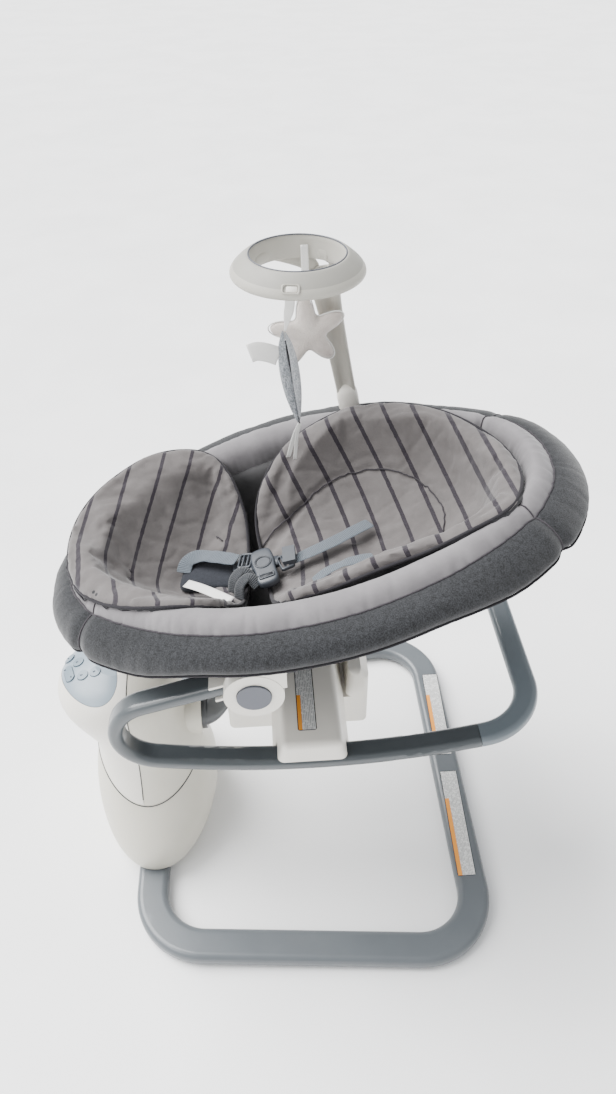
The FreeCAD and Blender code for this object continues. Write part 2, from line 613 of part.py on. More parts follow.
def hub_socket(name, side):
    """White hub on the end of a return branch: sleeve round the tube and a round body with a pin."""
    slope = Rotation(Vector(0, 1, 0), -D.return_slope)
    inner_y, depth = D.rail_spacing - 16, 32
    y = inner_y if side > 0 else -inner_y - depth
    hub_body = cylinder(name + "_hub_round", "socket_radius", depth, (D.hub_position, y, D.hub_height), "y")
    hub = Vector(D.hub_position, side * D.rail_spacing, D.hub_height)
    sleeve_reach, sleeve_height, sleeve_width = 50, 25, 36
    sleeve_y = -sleeve_width / 2 + side * 0.5
    corner = hub + slope.multVec(Vector(-sleeve_reach, sleeve_y, -sleeve_height / 2))
    sleeve = box(name + "_hub_sleeve", sleeve_reach, 32, sleeve_height,
                 (corner.x, y, corner.z), slope)
    tube_corner = hub + slope.multVec(Vector(-D.socket_radius - 42, -20, -D.rail_thickness / 2 - 0.1))
    tube_space = box(name + "_tube_space", 40.1, 40, "rail_thickness + 0.2", tube_corner, slope)
    pin_bore = cylinder(name + "_pin_bore", "pin_radius", 60, (hub.x, hub.y - 30, hub.z), "y")
    node(cut(name + "_hub_socket", fuse(name + "_hub_solid", hub_body, sleeve), tube_space, pin_bore))


# ---------------------------------------------------------------- seat
def oval_ring(name, shape_of_profile, sizes):
    """Turn one profile round the four arcs of the rim's oval; the profile's origin rides on the oval."""
    end_x, end_r, half_width = D.rim_end_center, D.rim_end_radius, D.rim_half_width
    drop = (end_x ** 2 - (half_width - end_r) ** 2) / (2 * (half_width - end_r))
    split = math.degrees(math.atan2(drop, end_x))
    side_radius = half_width + drop
    arcs = (("head", (end_x, 0), end_r, 0, split), ("foot", (-end_x, 0), end_r, 180, split),
            ("far", (0, -drop), side_radius, 90, 90 - split), ("near", (0, drop), side_radius, 270, 90 - split))
    pieces = []
    for tag, (cx, cy), radius, heading, half_angle in arcs:
        profile = shape_of_profile("%s_%s_profile" % (name, tag), sizes)
        spin = Rotation(Vector(0, 0, 1), heading - half_angle)
        upright = Rotation(Vector(1, 0, 0), 90)
        base = Vector(cx, cy, 0) + spin.multVec(Vector(radius, 0, 0))
        profile.Placement = SEAT.multiply(Placement(base, spin.multiply(upright)))
        arc = doc.addObject("Part::Revolution", "%s_%s" % (name, tag))
        arc.Source = profile
        arc.Base = SEAT.multVec(Vector(cx, cy, 0))
        arc.Axis = SEAT.Rotation.multVec(Vector(0, 0, 1))
        arc.Angle = 2 * half_angle
        arc.Solid = True
        pieces.append(arc)
    return fuse(name, *pieces)


def lens_profile(name, sizes):
    """Cushion-like section of the padded rim: a domed top and a rounder underside."""
    sketch = doc.addObject("Sketcher::SketchObject", name)
    inner, outer = Vector(-D.rim_inward, D.ring_level, 0), Vector(D.rim_outward, D.ring_level, 0)
    for middle in (Vector(-9, D.rim_rise, 0), Vector(-2, -D.rim_drop, 0)):
        sketch.addGeometry(Part.Arc(inner, middle, outer), False)
    return sketch


def round_profile(name, sizes):
    sketch = doc.addObject("Sketcher::SketchObject", name)
    for i, (radius, expression) in enumerate(sizes):
        sketch.addGeometry(Part.Circle(Vector(0, D.ring_level, 0), Vector(0, 0, 1), radius), False)
        index = sketch.addConstraint(Sketcher.Constraint("Radius", i, radius))
        sketch.renameConstraint(index, "tube_radius_%s" % LETTERS[i])
        bind(sketch, "Constraints.tube_radius_%s" % LETTERS[i], expression)
    return sketch


# depth below the rim, shift towards the head, half length, half width
BUCKET_SECTIONS = [(-20, 0, 262, 155), (-48, -4, 259, 152), (-76, -14, 247, 147), (-104, -31, 220, 137),
                   (-132, -48, 182, 120), (-156, -62, 122, 80)]
LINER_OUTSIDE = [(28, -2, 268, 161), (-4, 0, 251.4, 144.4), (-36, -3, 246.4, 140.4), (-70, -13, 238, 137),
                 (-102, -31, 208, 125), (-132, -49, 162, 103), (-150, -60, 104, 66)]
LINER_INSIDE = [(42, -2, 258, 150), (6, -2, 232, 126), (-24, -8, 214, 112), (-52, -22, 186, 99),
                (-82, -44, 122, 68)]


def seat_loft(name, sections, grow=0.0, rise=0.0):
    """Nested ovals in the seat's own directions, lofted into one solid."""
    ovals = []
    for i, (depth, shift, half_length, half_width) in enumerate(sections):
        place = SEAT.multiply(Placement(Vector(shift, 0, depth + rise), Rotation()))
        ovals.append(ellipse("%s_oval_%s" % (name, LETTERS[i]), half_length + grow, half_width + grow, place))
    return loft(name, ovals)


def strap(name, start, end, lift=0.0):
    """Flat webbing from one point of the seat to another, its width across the run."""
    p, q = seat_point(*start), seat_point(*end)
    run = q - p
    up = SEAT.Rotation.multVec(Vector(0, 0, 1))
    across = up.cross(run).normalize()
    normal = run.cross(across).normalize()
    rotation = Rotation(run, across, normal, "XYZ")
    corner = p + rotation.multVec(Vector(0, -D.webbing_width / 2, lift))
    return box(name, round(run.Length, 1), "webbing_width", "webbing_thickness", corner, rotation)


def seat():
    ring_sizes = ((D.ring_tube_radius, "ring_tube_radius"),
                  (D.ring_tube_radius - D.ring_wall, "ring_tube_radius - ring_wall"))
    ring = node(oval_ring("seat_ring", round_profile, ring_sizes))
    channel = oval_ring("ring_channel", round_profile, ring_sizes[:1])
    rim = oval_ring("rim_form", lens_profile, None)

    brackets, bracket_spaces = {}, []
    disc_inner = D.rail_spacing + 16.5
    for name, side in (("near", -1), ("far", 1)):
        y = disc_inner if side > 0 else -disc_inner - D.disc_thickness
        disc = cylinder(name + "_disc", "disc_radius", "disc_thickness",
                        (D.hub_position, y, D.hub_height), "y")
        lobe_y = disc_inner + 2 if side > 0 else -disc_inner - 16
        lobe = box(name + "_lobe", 34, 14, 54, (-58, lobe_y, 494))
        bore = cylinder(name + "_disc_bore", "pin_radius + 0.3", 12, (D.hub_position, y if side > 0 else y + 4.5,
                                                                 D.hub_height), "y")
        pocket_y = y + 5.5 if side > 0 else y
        pocket = cylinder(name + "_cap_pocket", "cap_radius + 0.5", 11, (D.hub_position, pocket_y,
                                                                    D.hub_height), "y")
        solid = fuse(name + "_bracket_solid", disc, lobe)
        brackets[name] = cut(name + "_seat_bracket", solid, pocket, bore, channel)
        bracket_spaces.append(lobe)
    for bracket in brackets.values():
        node(bracket)
    pins = []
    for name, side in (("near", -1), ("far", 1)):
        pin_start = D.rail_spacing - 16
        y = pin_start if side > 0 else -pin_start - 36.5
        pins.append(cylinder(name + "_pin", "pin_radius", 36.5, (D.hub_position, y, D.hub_height), "y"))
        cap_y = disc_inner + 11 if side > 0 else -disc_inner - 11 - 8
        node(cylinder(name + "_recline_button", "cap_radius", 8, (D.hub_position, cap_y, D.hub_height), "y"))
    node(group("recline_pins", *pins))

    foot = Vector(D.post_foot_x, D.post_foot_y, D.post_foot_z)
    post_top = Vector(40, 186, 838)
    lean = Rotation(Vector(0, 0, 1), post_top - foot)
    barrel = cylinder("socket_barrel", 15, 42, (0, 0, 0))
    barrel.Placement = Placement(foot + lean.multVec(Vector(0, 0, -38)), lean)
    node(cut("post_socket", barrel, channel))
    node(cut("rim_cover", rim, channel, barrel, *bracket_spaces))

    top, shift, half_length, half_width = BUCKET_SECTIONS[0]
    mouth = (top + 28, shift + 2, half_length + 1, half_width + 1)
    pouch_hollow = seat_loft("pouch_hollow", [mouth] + BUCKET_SECTIONS, -3.0, 3.0)
    node(cut("seat_pouch", seat_loft("pouch_form", BUCKET_SECTIONS), pouch_hollow, rim))

    liner = cut("liner", seat_loft("liner_form", LINER_OUTSIDE), seat_loft("liner_hollow", LINER_INSIDE))
    gap_middle, gap = -66, 7
    for name, corner_u in (("leg_cushion", gap_middle - gap - 400), ("head_cushion", gap_middle + gap)):
        keep = box(name + "_space", 400, 400, 400, seat_point(corner_u, -200, -250), SEAT.Rotation)
        node(common(name, liner, keep))

    harness()
    mobile(foot, post_top, lean)


def harness():
    """Five-point harness lying on the cushions, with its buckle over the gap between them."""
    buckle_u, buckle_v, buckle_w = -66, -4, -74
    node(group("waist_straps", strap("waist_strap_far", (-134, 30, -74), (-92, 4, -70)),
               strap("waist_strap_near", (-36, -32, -63), (10, -88, -46))))
    node(group("shoulder_straps", strap("shoulder_strap_far", (-44, 6, -68), (62, 44, -44)),
               strap("shoulder_strap_near", (-44, -8, -56), (66, 16, -38))))
    corner = seat_point(buckle_u - 17, buckle_v - 27, buckle_w)
    body = box("buckle_block", 34, 54, 13, corner, SEAT.Rotation)
    button_place = Placement(seat_point(buckle_u, buckle_v + 4, buckle_w + 7), SEAT.Rotation)
    button = cylinder("buckle_button", 8, 7.5, (0, 0, 0))
    button.Placement = button_place
    button_space = cylinder("buckle_button_space", 8.4, 20, (0, 0, 0))
    button_space.Placement = Placement(seat_point(buckle_u, buckle_v + 4, buckle_w + 4), SEAT.Rotation)
    node(cut("buckle_body", body, button_space))
    node(button)
    adjusters = [box("adjuster_" + tag, 16, 28, 6, seat_point(u, v, w), SEAT.Rotation)
                 for tag, u, v, w in (("far", -108, -6, -64), ("near", -40, -26, -50))]
    node(group("strap_adjusters", *adjusters))
    node(box("crotch_pad", 44, 40, 5, seat_point(-128, -26, -80), SEAT.Rotation))


# ---------------------------------------------------------------- mobile
def mobile(foot, post_top, lean):
    halo = doc.addObject("PartDesign::Body", "mobile_ring")
    sketch = sketch_on(halo, "halo_section", "XZ_Plane", (0, 0, 0))
    opening, outer, top, depth = D.halo_opening, D.halo_outer, D.halo_top, D.halo_depth
    skin, brim = 4.5, 19
    draw_polygon(sketch, [(opening, top), (opening + 3.5, top), (outer, top - brim), (outer, top - brim - 5),
                          (outer - skin, top - brim - 5), (opening + skin, top - 8),
                          (opening + skin, top - depth), (opening, top - depth)])
    turned = halo.newObject("PartDesign::Revolution", "halo_turned")
    turned.Profile = sketch
    turned.ReferenceAxis = (sketch, ["V_Axis"])
    turned.Angle = 360
    halo.Tip = turned
    doc.recompute()
    halo.Placement = Placement(Vector(D.halo_x, D.halo_y, 0), Rotation())
    node(halo)
    run = (post_top - foot).Length
    sections = []
    for i, (share, half_x, half_y) in enumerate(((0.02, 14, 8), (0.5, 14.5, 8), (0.8, 16, 9), (1.0, 20, 9))):
        place = Placement(foot + lean.multVec(Vector(0, 0, share * run)), lean)
        sections.append(ellipse("post_section_%s" % LETTERS[i], half_x, half_y, place))
    node(cut("mobile_post", loft("post_beam", sections), halo))

    star_body = doc.addObject("PartDesign::Body", "star_form")
    star_x, star_y, star_z, outer_reach, inner_reach = 24, 160, 738, 46, 25
    star_sketch = sketch_on(star_body, "star_outline", "XZ_Plane", (star_x, star_z, -star_y))
    points = []
    for i in range(10):
        reach = inner_reach if i % 2 else outer_reach
        angle = math.radians(93 + 36 * i)
        points.append((reach * math.cos(angle), reach * math.sin(angle)))
    draw_polygon(star_sketch, points)
    star_pad = star_body.newObject("PartDesign::Pad", "star_pad")
    star_pad.Profile = star_sketch
    star_pad.Midplane = 1
    star_pad.Length = 22
    star_body.Tip = star_pad
    doc.recompute()
    star_ribbon = box("star_ribbon", 7, 1, 82, (star_x - 6, star_y - 0.5, 770))
    node(fuse("star_toy", star_body, star_ribbon))

    leaf_x, leaf_y, leaf_z, leaf_lean = 0, 68, 724, 7
    leaf_place = Placement(Vector(leaf_x, leaf_y, leaf_z), Rotation(Vector(0, 1, 0), -leaf_lean))
    leaf_rings = []
    for i, (height, half_x, half_y) in enumerate(((-60, 1, 1), (-42, 6, 4), (-18, 11, 6.5), (8, 12.5, 7),
                                                   (32, 9, 6), (54, 3, 2.5))):
        place = leaf_place.multiply(Placement(Vector(0, 0, height), Rotation()))
        leaf_rings.append(ellipse("leaf_ring_%s" % LETTERS[i], half_x, half_y, place))
    leaf_form = loft("leaf_form", leaf_rings)
    leaf_ribbon = box("leaf_ribbon", 9, 1, 78, (-8, leaf_y - 0.5, 770))
    tails = box("leaf_tails", 8, 1, 60, (2, leaf_y - 0.5, 618))
    node(fuse("leaf_toy", leaf_form, leaf_ribbon, tails))


# ---------------------------------------------------------------- build, check and write
floor_loop()
tower_inside(tower())
swing_arm()
rocker()
seat()
doc.recompute()

problems = [obj.Name for obj in doc.Objects if {"Invalid", "Error"} & set(obj.State)]
for obj in NODES:
    if obj.Shape.isNull() or not obj.Shape.isValid() or not obj.Shape.Solids:
        problems.append(obj.Label + " (shape)")
if problems:
    raise RuntimeError("failed objects: " + ", ".join(problems))

os.makedirs("parts", exist_ok=True)
for obj in NODES:
    obj.Shape.exportStep("parts/%s.step" % obj.Label)
    print("%-22s %2d solids %9.0f mm3" % (obj.Label, len(obj.Shape.Solids), obj.Shape.Volume))
print(len(NODES), "sub-parts")
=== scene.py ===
import json
import math
import bpy
from mathutils import Matrix, Vector, noise
from mathutils.bvhtree import BVHTree


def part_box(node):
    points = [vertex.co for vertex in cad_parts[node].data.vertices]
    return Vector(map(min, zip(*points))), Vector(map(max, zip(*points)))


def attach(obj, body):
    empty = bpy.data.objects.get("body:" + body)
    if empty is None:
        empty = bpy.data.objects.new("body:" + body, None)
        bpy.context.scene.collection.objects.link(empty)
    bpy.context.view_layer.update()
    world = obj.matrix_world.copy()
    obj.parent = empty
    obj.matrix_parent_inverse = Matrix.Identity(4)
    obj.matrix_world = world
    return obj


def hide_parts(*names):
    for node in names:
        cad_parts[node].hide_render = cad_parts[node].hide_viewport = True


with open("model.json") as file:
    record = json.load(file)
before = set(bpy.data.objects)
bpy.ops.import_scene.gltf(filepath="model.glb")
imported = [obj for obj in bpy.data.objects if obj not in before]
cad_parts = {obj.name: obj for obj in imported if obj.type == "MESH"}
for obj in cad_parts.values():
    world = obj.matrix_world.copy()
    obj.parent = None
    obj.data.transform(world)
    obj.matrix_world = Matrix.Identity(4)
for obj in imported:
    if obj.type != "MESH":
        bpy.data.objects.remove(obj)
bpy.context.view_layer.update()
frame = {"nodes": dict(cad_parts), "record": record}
NODES = frame["nodes"]

# Seat directions: u towards the head along the rim, v across, w square to the rim; millimetres
TILT = math.radians(13)
SEAT = Matrix.Translation((0.008, 0, 0.578)) @ Matrix.Rotation(-TILT, 4, "Y")


def seat(u, v, w):
    return SEAT @ (Vector((u, v, w)) / 1000)


def seat_inverse(point):
    return (SEAT.inverted() @ point) * 1000


def mm(x, y, z):
    return Vector((x, y, z)) / 1000


# ---------------------------------------------------------------- materials
def srgb(red, green, blue):
    def linear(c):
        c /= 255
        return c / 12.92 if c < 0.04 else ((c + 0.055) / 1.055) ** 2.4
    return (linear(red), linear(green), linear(blue), 1)


class Shader:
    """A node material being put together: add() makes a node and links or sets its inputs."""

    def __init__(self, name, roughness, **constants):
        self.material = bpy.data.materials.new(name)
        self.material.use_nodes = True
        self.tree = self.material.node_tree
        self.surface = self.tree.nodes["Principled BSDF"]
        self.surface.inputs["Roughness"].default_value = roughness
        for socket, value in constants.items():
            self.surface.inputs[socket.replace("_", " ")].default_value = value
        self.place = self.add("ShaderNodeTexCoord").outputs["Object"]

    def plug(self, socket, value):
        if isinstance(value, bpy.types.NodeSocket):
            self.tree.links.new(value, socket)
        else:
            socket.default_value = value

    def add(self, kind, settings=None, inputs=None):
        made = self.tree.nodes.new(kind)
        for key, value in (settings or {}).items():
            setattr(made, key, value)
        for key, value in (inputs or {}).items():
            self.plug(made.inputs[key], value)
        return made

    def noise(self, scale, detail=2.0, stretch=None):
        where = self.place
        if stretch:
            where = self.add("ShaderNodeMapping", inputs={"Vector": self.place, "Scale": stretch}).outputs[0]
        inputs = {"Vector": where, "Scale": scale, "Detail": detail, "Roughness": 0.6}
        return self.add("ShaderNodeTexNoise", inputs=inputs).outputs["Fac"]

    def remap(self, value, low, high, to_low=0.0, to_high=1.0):
        inputs = {"Value": value, "From Min": low, "From Max": high, "To Min": to_low, "To Max": to_high}
        return self.add("ShaderNodeMapRange", inputs=inputs).outputs[0]

    def math(self, operation, a, b=0.0):
        return self.add("ShaderNodeMath", {"operation": operation}, {0: a, 1: b}).outputs[0]

    def mix(self, factor, a, b, blend="MIX"):
        made = self.add("ShaderNodeMix", {"data_type": "RGBA", "blend_type": blend}, {0: factor, 6: a, 7: b})
        return made.outputs[2]

    def attribute(self, name):
        return self.add("ShaderNodeAttribute", {"attribute_name": name}).outputs["Fac"]

    def finish(self, colour, height=None, depth=0.0003, strength=0.5, roughness=None):
        self.plug(self.surface.inputs["Base Color"], colour)
        if roughness is not None:
            self.plug(self.surface.inputs["Roughness"], roughness)
        if height is not None:
            inputs = {"Height": height, "Distance": depth, "Strength": strength}
            bump = self.add("ShaderNodeBump", inputs=inputs)
            self.plug(self.surface.inputs["Normal"], bump.outputs[0])
        return self.material


def heather(name, dark, light, grain=1.3, contrast=(0.36, 0.64), sheen=0.25, relief=0.5):
    """Melange cloth: two yarn shades in short flecks, with soft broad shade and a fine woven relief."""
    s = Shader(name, 0.92, Sheen_Weight=sheen, Sheen_Roughness=0.5, Specular_IOR_Level=0.2)
    fleck = s.noise(1000 / grain, 3, (1, 1, 0.6))
    slub = s.noise(1000 / (grain * 3.5), 2, (1, 1, 0.4))
    yarn = s.math("ADD", s.math("MULTIPLY", fleck, 0.75), s.math("MULTIPLY", slub, 0.25))
    colour = s.mix(s.remap(yarn, *contrast), dark, light)
    broad = s.remap(s.noise(9, 2), 0.3, 0.7, 0.9, 1.06)
    colour = s.mix(1.0, colour, s.add("ShaderNodeCombineColor",
                                      inputs={0: broad, 1: broad, 2: broad}).outputs[0],
                   "MULTIPLY")
    return s.finish(colour, fleck, 0.0006, relief)


def knit(name, colour, shade, pitch=1.1, sheen=0.3, relief=0.3, lines=(), line_width=2.7, line_colours=None,
         pile=0.88):
    """Smooth brushed knit, with printed lines where a surface has a 'lines' coordinate in millimetres."""
    s = Shader(name, pile, Sheen_Weight=sheen, Sheen_Roughness=0.45, Specular_IOR_Level=0.25)
    mottle = s.remap(s.noise(26, 4), 0.32, 0.68)
    base = s.mix(mottle, shade, colour)
    fibre = s.noise(1000 / pitch, 3)
    base = s.mix(s.remap(fibre, 0.3, 0.7, 0.0, 0.22), base, shade)
    if lines:
        along = s.attribute("lines")
        mask = 0.0
        for line in lines:
            near = s.add("ShaderNodeMath", {"operation": "COMPARE"},
                         {0: along, 1: line, 2: line_width}).outputs[0]
            mask = s.math("MAXIMUM", near, mask)
        printed = s.mix(s.remap(s.noise(900, 2), 0.38, 0.62), *line_colours)
        base = s.mix(mask, base, printed)
        under = s.math("GREATER_THAN", s.attribute("below"), 0.0)
        base = s.mix(under, base, s.mix(s.remap(s.noise(1100, 3), 0.35, 0.65), srgb(20, 20, 22),
                                        srgb(50, 50, 53)))
    rib = s.add("ShaderNodeTexVoronoi", inputs={"Vector": s.place, "Scale": 1000 / pitch}).outputs["Distance"]
    creases = s.noise(34, 3)
    height = s.math("ADD", s.math("MULTIPLY", rib, 0.35), s.math("MULTIPLY", creases, 1.4))
    return s.finish(base, height, 0.0016, relief)


def webbing(name, dark, light, pitch=2.2):
    """Ribbed webbing: cross ribs from the 'run' coordinate, lengthwise cords from the 'side' coordinate."""
    s = Shader(name, 0.7, Sheen_Weight=0.2, Specular_IOR_Level=0.35)
    run, side = s.attribute("run"), s.attribute("side")
    ribs = s.math("SINE", s.math("MULTIPLY", run, 2 * math.pi / pitch))
    cords = s.math("SINE", s.math("MULTIPLY", side, 2 * math.pi / 1.7))
    weave = s.math("MULTIPLY", s.math("ADD", ribs, 1.0), s.math("ADD", cords, 1.4))
    yarn = s.math("ADD", s.math("MULTIPLY", s.remap(weave, 0, 4), 0.6), s.math("MULTIPLY", s.noise(700), 0.5))
    return s.finish(s.mix(s.remap(yarn, 0.15, 0.85), dark, light), weave, 0.0005, 0.7)


def moulded(name, colour, roughness=0.42, tint=0.95, grain=0.45, relief=0.12, coat=0.0, metallic=0.0):
    """Moulded plastic or paint: faint tone drift, handling marks in the gloss, fine spark-eroded grain."""
    s = Shader(name, roughness, Coat_Weight=coat, Metallic=metallic, Specular_IOR_Level=0.5)
    shade = tuple(c * tint for c in colour[:3]) + (1,)
    base = s.mix(s.remap(s.noise(14, 3), 0.35, 0.65), shade, colour)
    specks = s.remap(s.noise(420, 2), 0.70, 0.78, 0.0, 0.12)
    base = s.mix(specks, base, tuple(c * 0.7 for c in colour[:3]) + (1,))
    worn = s.remap(s.noise(40, 5), 0.3, 0.75, roughness * 0.85, min(1.0, roughness * 1.2))
    return s.finish(base, s.noise(1000 / grain, 2), 0.0002, relief, worn)


def brushed(name, colour, roughness=0.35):
    s = Shader(name, roughness, Metallic=1.0)
    streak = s.noise(60, 4, (1, 1, 30))
    base = s.mix(streak, tuple(c * 0.75 for c in colour[:3]) + (1,), colour)
    return s.finish(base, streak, 0.0001, 0.3)


def rubber(name, colour):
    s = Shader(name, 0.75, Specular_IOR_Level=0.3)
    base = s.mix(s.remap(s.noise(60, 4), 0.3, 0.7), tuple(c * 0.7 for c in colour[:3]) + (1,), colour)
    return s.finish(base, s.noise(1500), 0.0002, 0.4)


WHITE = moulded("white_plastic", srgb(226, 222, 213), 0.38, 0.965, relief=0.08)
WARM_WHITE = moulded("warm_white_plastic", srgb(205, 201, 188), 0.42, 0.95, relief=0.08)
PANEL = moulded("panel_plastic", srgb(132, 145, 155), 0.34, 0.96, relief=0.06)
KEY = moulded("key_plastic", srgb(112, 127, 138), 0.38, 0.95, relief=0.06)
KEY_MARK = moulded("key_mark_ink", srgb(60, 72, 84), 0.5, 0.9)
CAP = moulded("cap_plastic", srgb(82, 85, 94), 0.45, 0.94)
BUCKLE = moulded("buckle_plastic", srgb(58, 62, 68), 0.4, 0.93)
DARK = moulded("dark_plastic", srgb(40, 42, 46), 0.5, 0.85)
LOOP = moulded("loop_paint", srgb(90, 95, 99), 0.36, 0.93, 0.5, 0.05, coat=0.15)
RAIL = moulded("rail_paint", srgb(70, 75, 78), 0.34, 0.95, 0.5, 0.04, coat=0.2)
CROSS = moulded("cross_tube_paint", srgb(104, 113, 119), 0.34, 0.95, 0.5, 0.04, coat=0.15)
ARM = moulded("arm_paint", srgb(70, 72, 74), 0.42, 0.9, 0.7, 0.15, coat=0.1)
MOBILE = moulded("mobile_plastic", srgb(172, 169, 160), 0.5, 0.96, relief=0.08)
MOBILE_BAND = moulded("mobile_band_plastic", srgb(150, 148, 141), 0.55, 0.95)
STEEL = brushed("bare_steel", srgb(190, 190, 192))
CELL = moulded("cell_wrap", srgb(90, 98, 110), 0.3, 0.85, coat=0.3)
BOARD = moulded("board_lacquer", srgb(40, 96, 66), 0.35, 0.8)
RUBBER = rubber("rubber", srgb(52, 53, 56))
RIM_LIGHT = knit("rim_light_knit", srgb(126, 123, 125), srgb(112, 109, 111), 1.0, relief=0.22)
RIM_DARK = heather("rim_heather", srgb(11, 12, 13), srgb(50, 51, 54), 1.25)
# The bucket lining is the rim's light-band knit in a darker copy: painted shade for the inside of the bucket.
LINING_PAINTED_SHADE = knit("lining_knit_painted_shade", srgb(98, 97, 98), srgb(84, 83, 84), 1.0, relief=0.2)
POUCH = heather("pouch_cloth", srgb(36, 37, 41), srgb(62, 63, 68), 1.0, (0.3, 0.7), 0.1)
STRIPE_SHADES = (srgb(34, 30, 36), srgb(52, 47, 53))
LEG_LINES = (-303, -260, -212, -169, -117, -77)
HEAD_LINES = (-38, -7, 31, 65, 103, 141, 177, 214, 240)
LEG_CLOTH = knit("leg_cushion_knit", srgb(104, 100, 99), srgb(90, 86, 85), 1.0, 0.3, 0.4, LEG_LINES, 2.8,
                 STRIPE_SHADES)
HEAD_CLOTH = knit("head_cushion_knit", srgb(104, 100, 99), srgb(90, 86, 85), 1.0, 0.3, 0.4, HEAD_LINES, 2.8,
                  STRIPE_SHADES)
PIPING = heather("piping_cloth", srgb(26, 25, 28), srgb(48, 46, 50), 0.8, (0.3, 0.7), 0.1, 0.3)
THREAD = heather("seam_thread", srgb(40, 38, 42), srgb(70, 66, 70), 0.6, (0.3, 0.7), 0.1, 0.3)
STRAP = webbing("strap_webbing", srgb(72, 80, 88), srgb(112, 121, 130))
STRAP_DARK = webbing("strap_dark_webbing", srgb(28, 31, 35), srgb(52, 56, 62))
PAD = heather("crotch_pad_cloth", srgb(26, 28, 33), srgb(46, 48, 54), 1.0, (0.3, 0.7), 0.1)
SATIN = knit("satin_ribbon", srgb(232, 231, 228), srgb(214, 213, 210), 0.5, 0.2, 0.08, pile=0.35)
STAR_CLOTH = knit("star_plush", srgb(214, 206, 198), srgb(184, 174, 168), 1.6, 0.5, 0.9)
LEAF_DARK = heather("leaf_dark_cloth", srgb(78, 82, 88), srgb(176, 180, 184), 1.2)
LEAF_LIGHT = heather("leaf_light_cloth", srgb(120, 124, 130), srgb(196, 198, 200), 1.2)

FINISHES = {
    WHITE: ("bridge_housing", "bridge_cover", "seat_mount", "tower_outer_shell", "near_seat_bracket",
            "far_seat_bracket", "near_hub_socket", "far_hub_socket"),
    WARM_WHITE: ("tower_lower_housing", "tower_inner_shell", "tower_bottom_cover", "battery_door",
                 "post_socket", "speaker", "gear_bracket", "drive_worm", "drive_wheel"),
    PANEL: ("control_panel",),
    KEY: ("power_button", "timer_button", "music_button", "sound_button", "speed_rocker", "volume_rocker",
          "vibration_button"),
    CAP: ("near_recline_button", "far_recline_button"),
    BUCKLE: ("mount_latch", "buckle_button", "buckle_body", "strap_adjusters"),
    LOOP: ("base_loop",),
    RAIL: ("near_rail", "far_rail"),
    CROSS: ("head_cross_tube",),
    ARM: ("swing_arm",),
    RUBBER: ("rail_grips", "base_feet"),
    STEEL: ("pivot_shaft", "pivot_bearings", "seat_ring", "recline_pins", "tower_screws", "drive_motor",
            "vibration_motor"),
    CELL: ("battery_cells",),
    BOARD: ("circuit_board",),
    DARK: ("power_inlet",),
    MOBILE: ("mobile_post", "mobile_ring"),
    LEAF_DARK: ("leaf_toy",),
    STAR_CLOTH: ("star_toy",),
    RIM_DARK: ("rim_cover",),
    POUCH: ("seat_pouch",),
    LEG_CLOTH: ("leg_cushion",),
    HEAD_CLOTH: ("head_cushion",),
    STRAP: ("shoulder_straps", "waist_straps"),
    PAD: ("crotch_pad",),
}
for finish, names in FINISHES.items():
    for name in names:
        NODES[name].data.materials.clear()
        NODES[name].data.materials.append(finish)


# ---------------------------------------------------------------- mesh helpers
def piece(name, verts, faces, material, body, slot=None, smooth=True):
    mesh = bpy.data.meshes.new(name)
    mesh.from_pydata([tuple(v) for v in verts], [], faces)
    mesh.validate()
    mesh.materials.append(material)
    mesh.polygons.foreach_set("use_smooth", [smooth] * len(mesh.polygons))
    made = bpy.data.objects.new(name, mesh)
    bpy.context.scene.collection.objects.link(made)
    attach(made, body)
    return made


def grid(rows, close_rows=False, close_columns=False):
    """Vertices and quads of a grid given as rows of points."""
    count, width = len(rows), len(rows[0])
    verts = [p for row in rows for p in row]
    faces = []
    for i in range(count if close_rows else count - 1):
        k = (i + 1) % count
        for j in range(width if close_columns else width - 1):
            m = (j + 1) % width
            faces.append((i * width + j, i * width + m, k * width + m, k * width + j))
    return verts, faces


def turns(count):
    """Evenly spaced angles once round a circle."""
    return [2 * math.pi * k / count for k in range(count)]


def capped(rows):
    """A closed skin through closed rings, with both ends filled."""
    verts, faces = grid(rows, close_columns=True)
    width = len(rows[0])
    faces.append(tuple(reversed(range(width))))
    faces.append(tuple(range(len(verts) - width, len(verts))))
    return verts, faces


def subdivide(made, levels=1):
    modifier = made.modifiers.new("smooth", "SUBSURF")
    modifier.levels = levels
    modifier.render_levels = levels


def spline(points, count, closed=False):
    """Even samples of a Catmull-Rom curve through points."""
    pts = [Vector(p) for p in points]
    n = len(pts)
    spans = n if closed else n - 1
    dense = []
    for i in range(spans):
        if closed:
            a, b, c, d = (pts[(i + k) % n] for k in (-1, 0, 1, 2))
        else:
            a, b, c, d = (pts[min(max(i + k, 0), n - 1)] for k in (-1, 0, 1, 2))
        for k in range(24):
            t = k / 24
            dense.append(0.5 * (2 * b + (c - a) * t + (2 * a - 5 * b + 4 * c - d) * t * t
                                + (3 * b - a - 3 * c + d) * t ** 3))
    dense.append(pts[0].copy() if closed else pts[-1].copy())
    lengths = [0.0]
    for a, b in zip(dense, dense[1:]):
        lengths.append(lengths[-1] + (b - a).length)
    samples, k = [], 0
    for i in range(count):
        target = lengths[-1] * i / (count if closed else count - 1)
        while k < len(dense) - 2 and lengths[k + 1] < target:
            k += 1
        share = (target - lengths[k]) / max(lengths[k + 1] - lengths[k], 1e-9)
        samples.append(dense[k].lerp(dense[k + 1], share))
    return samples


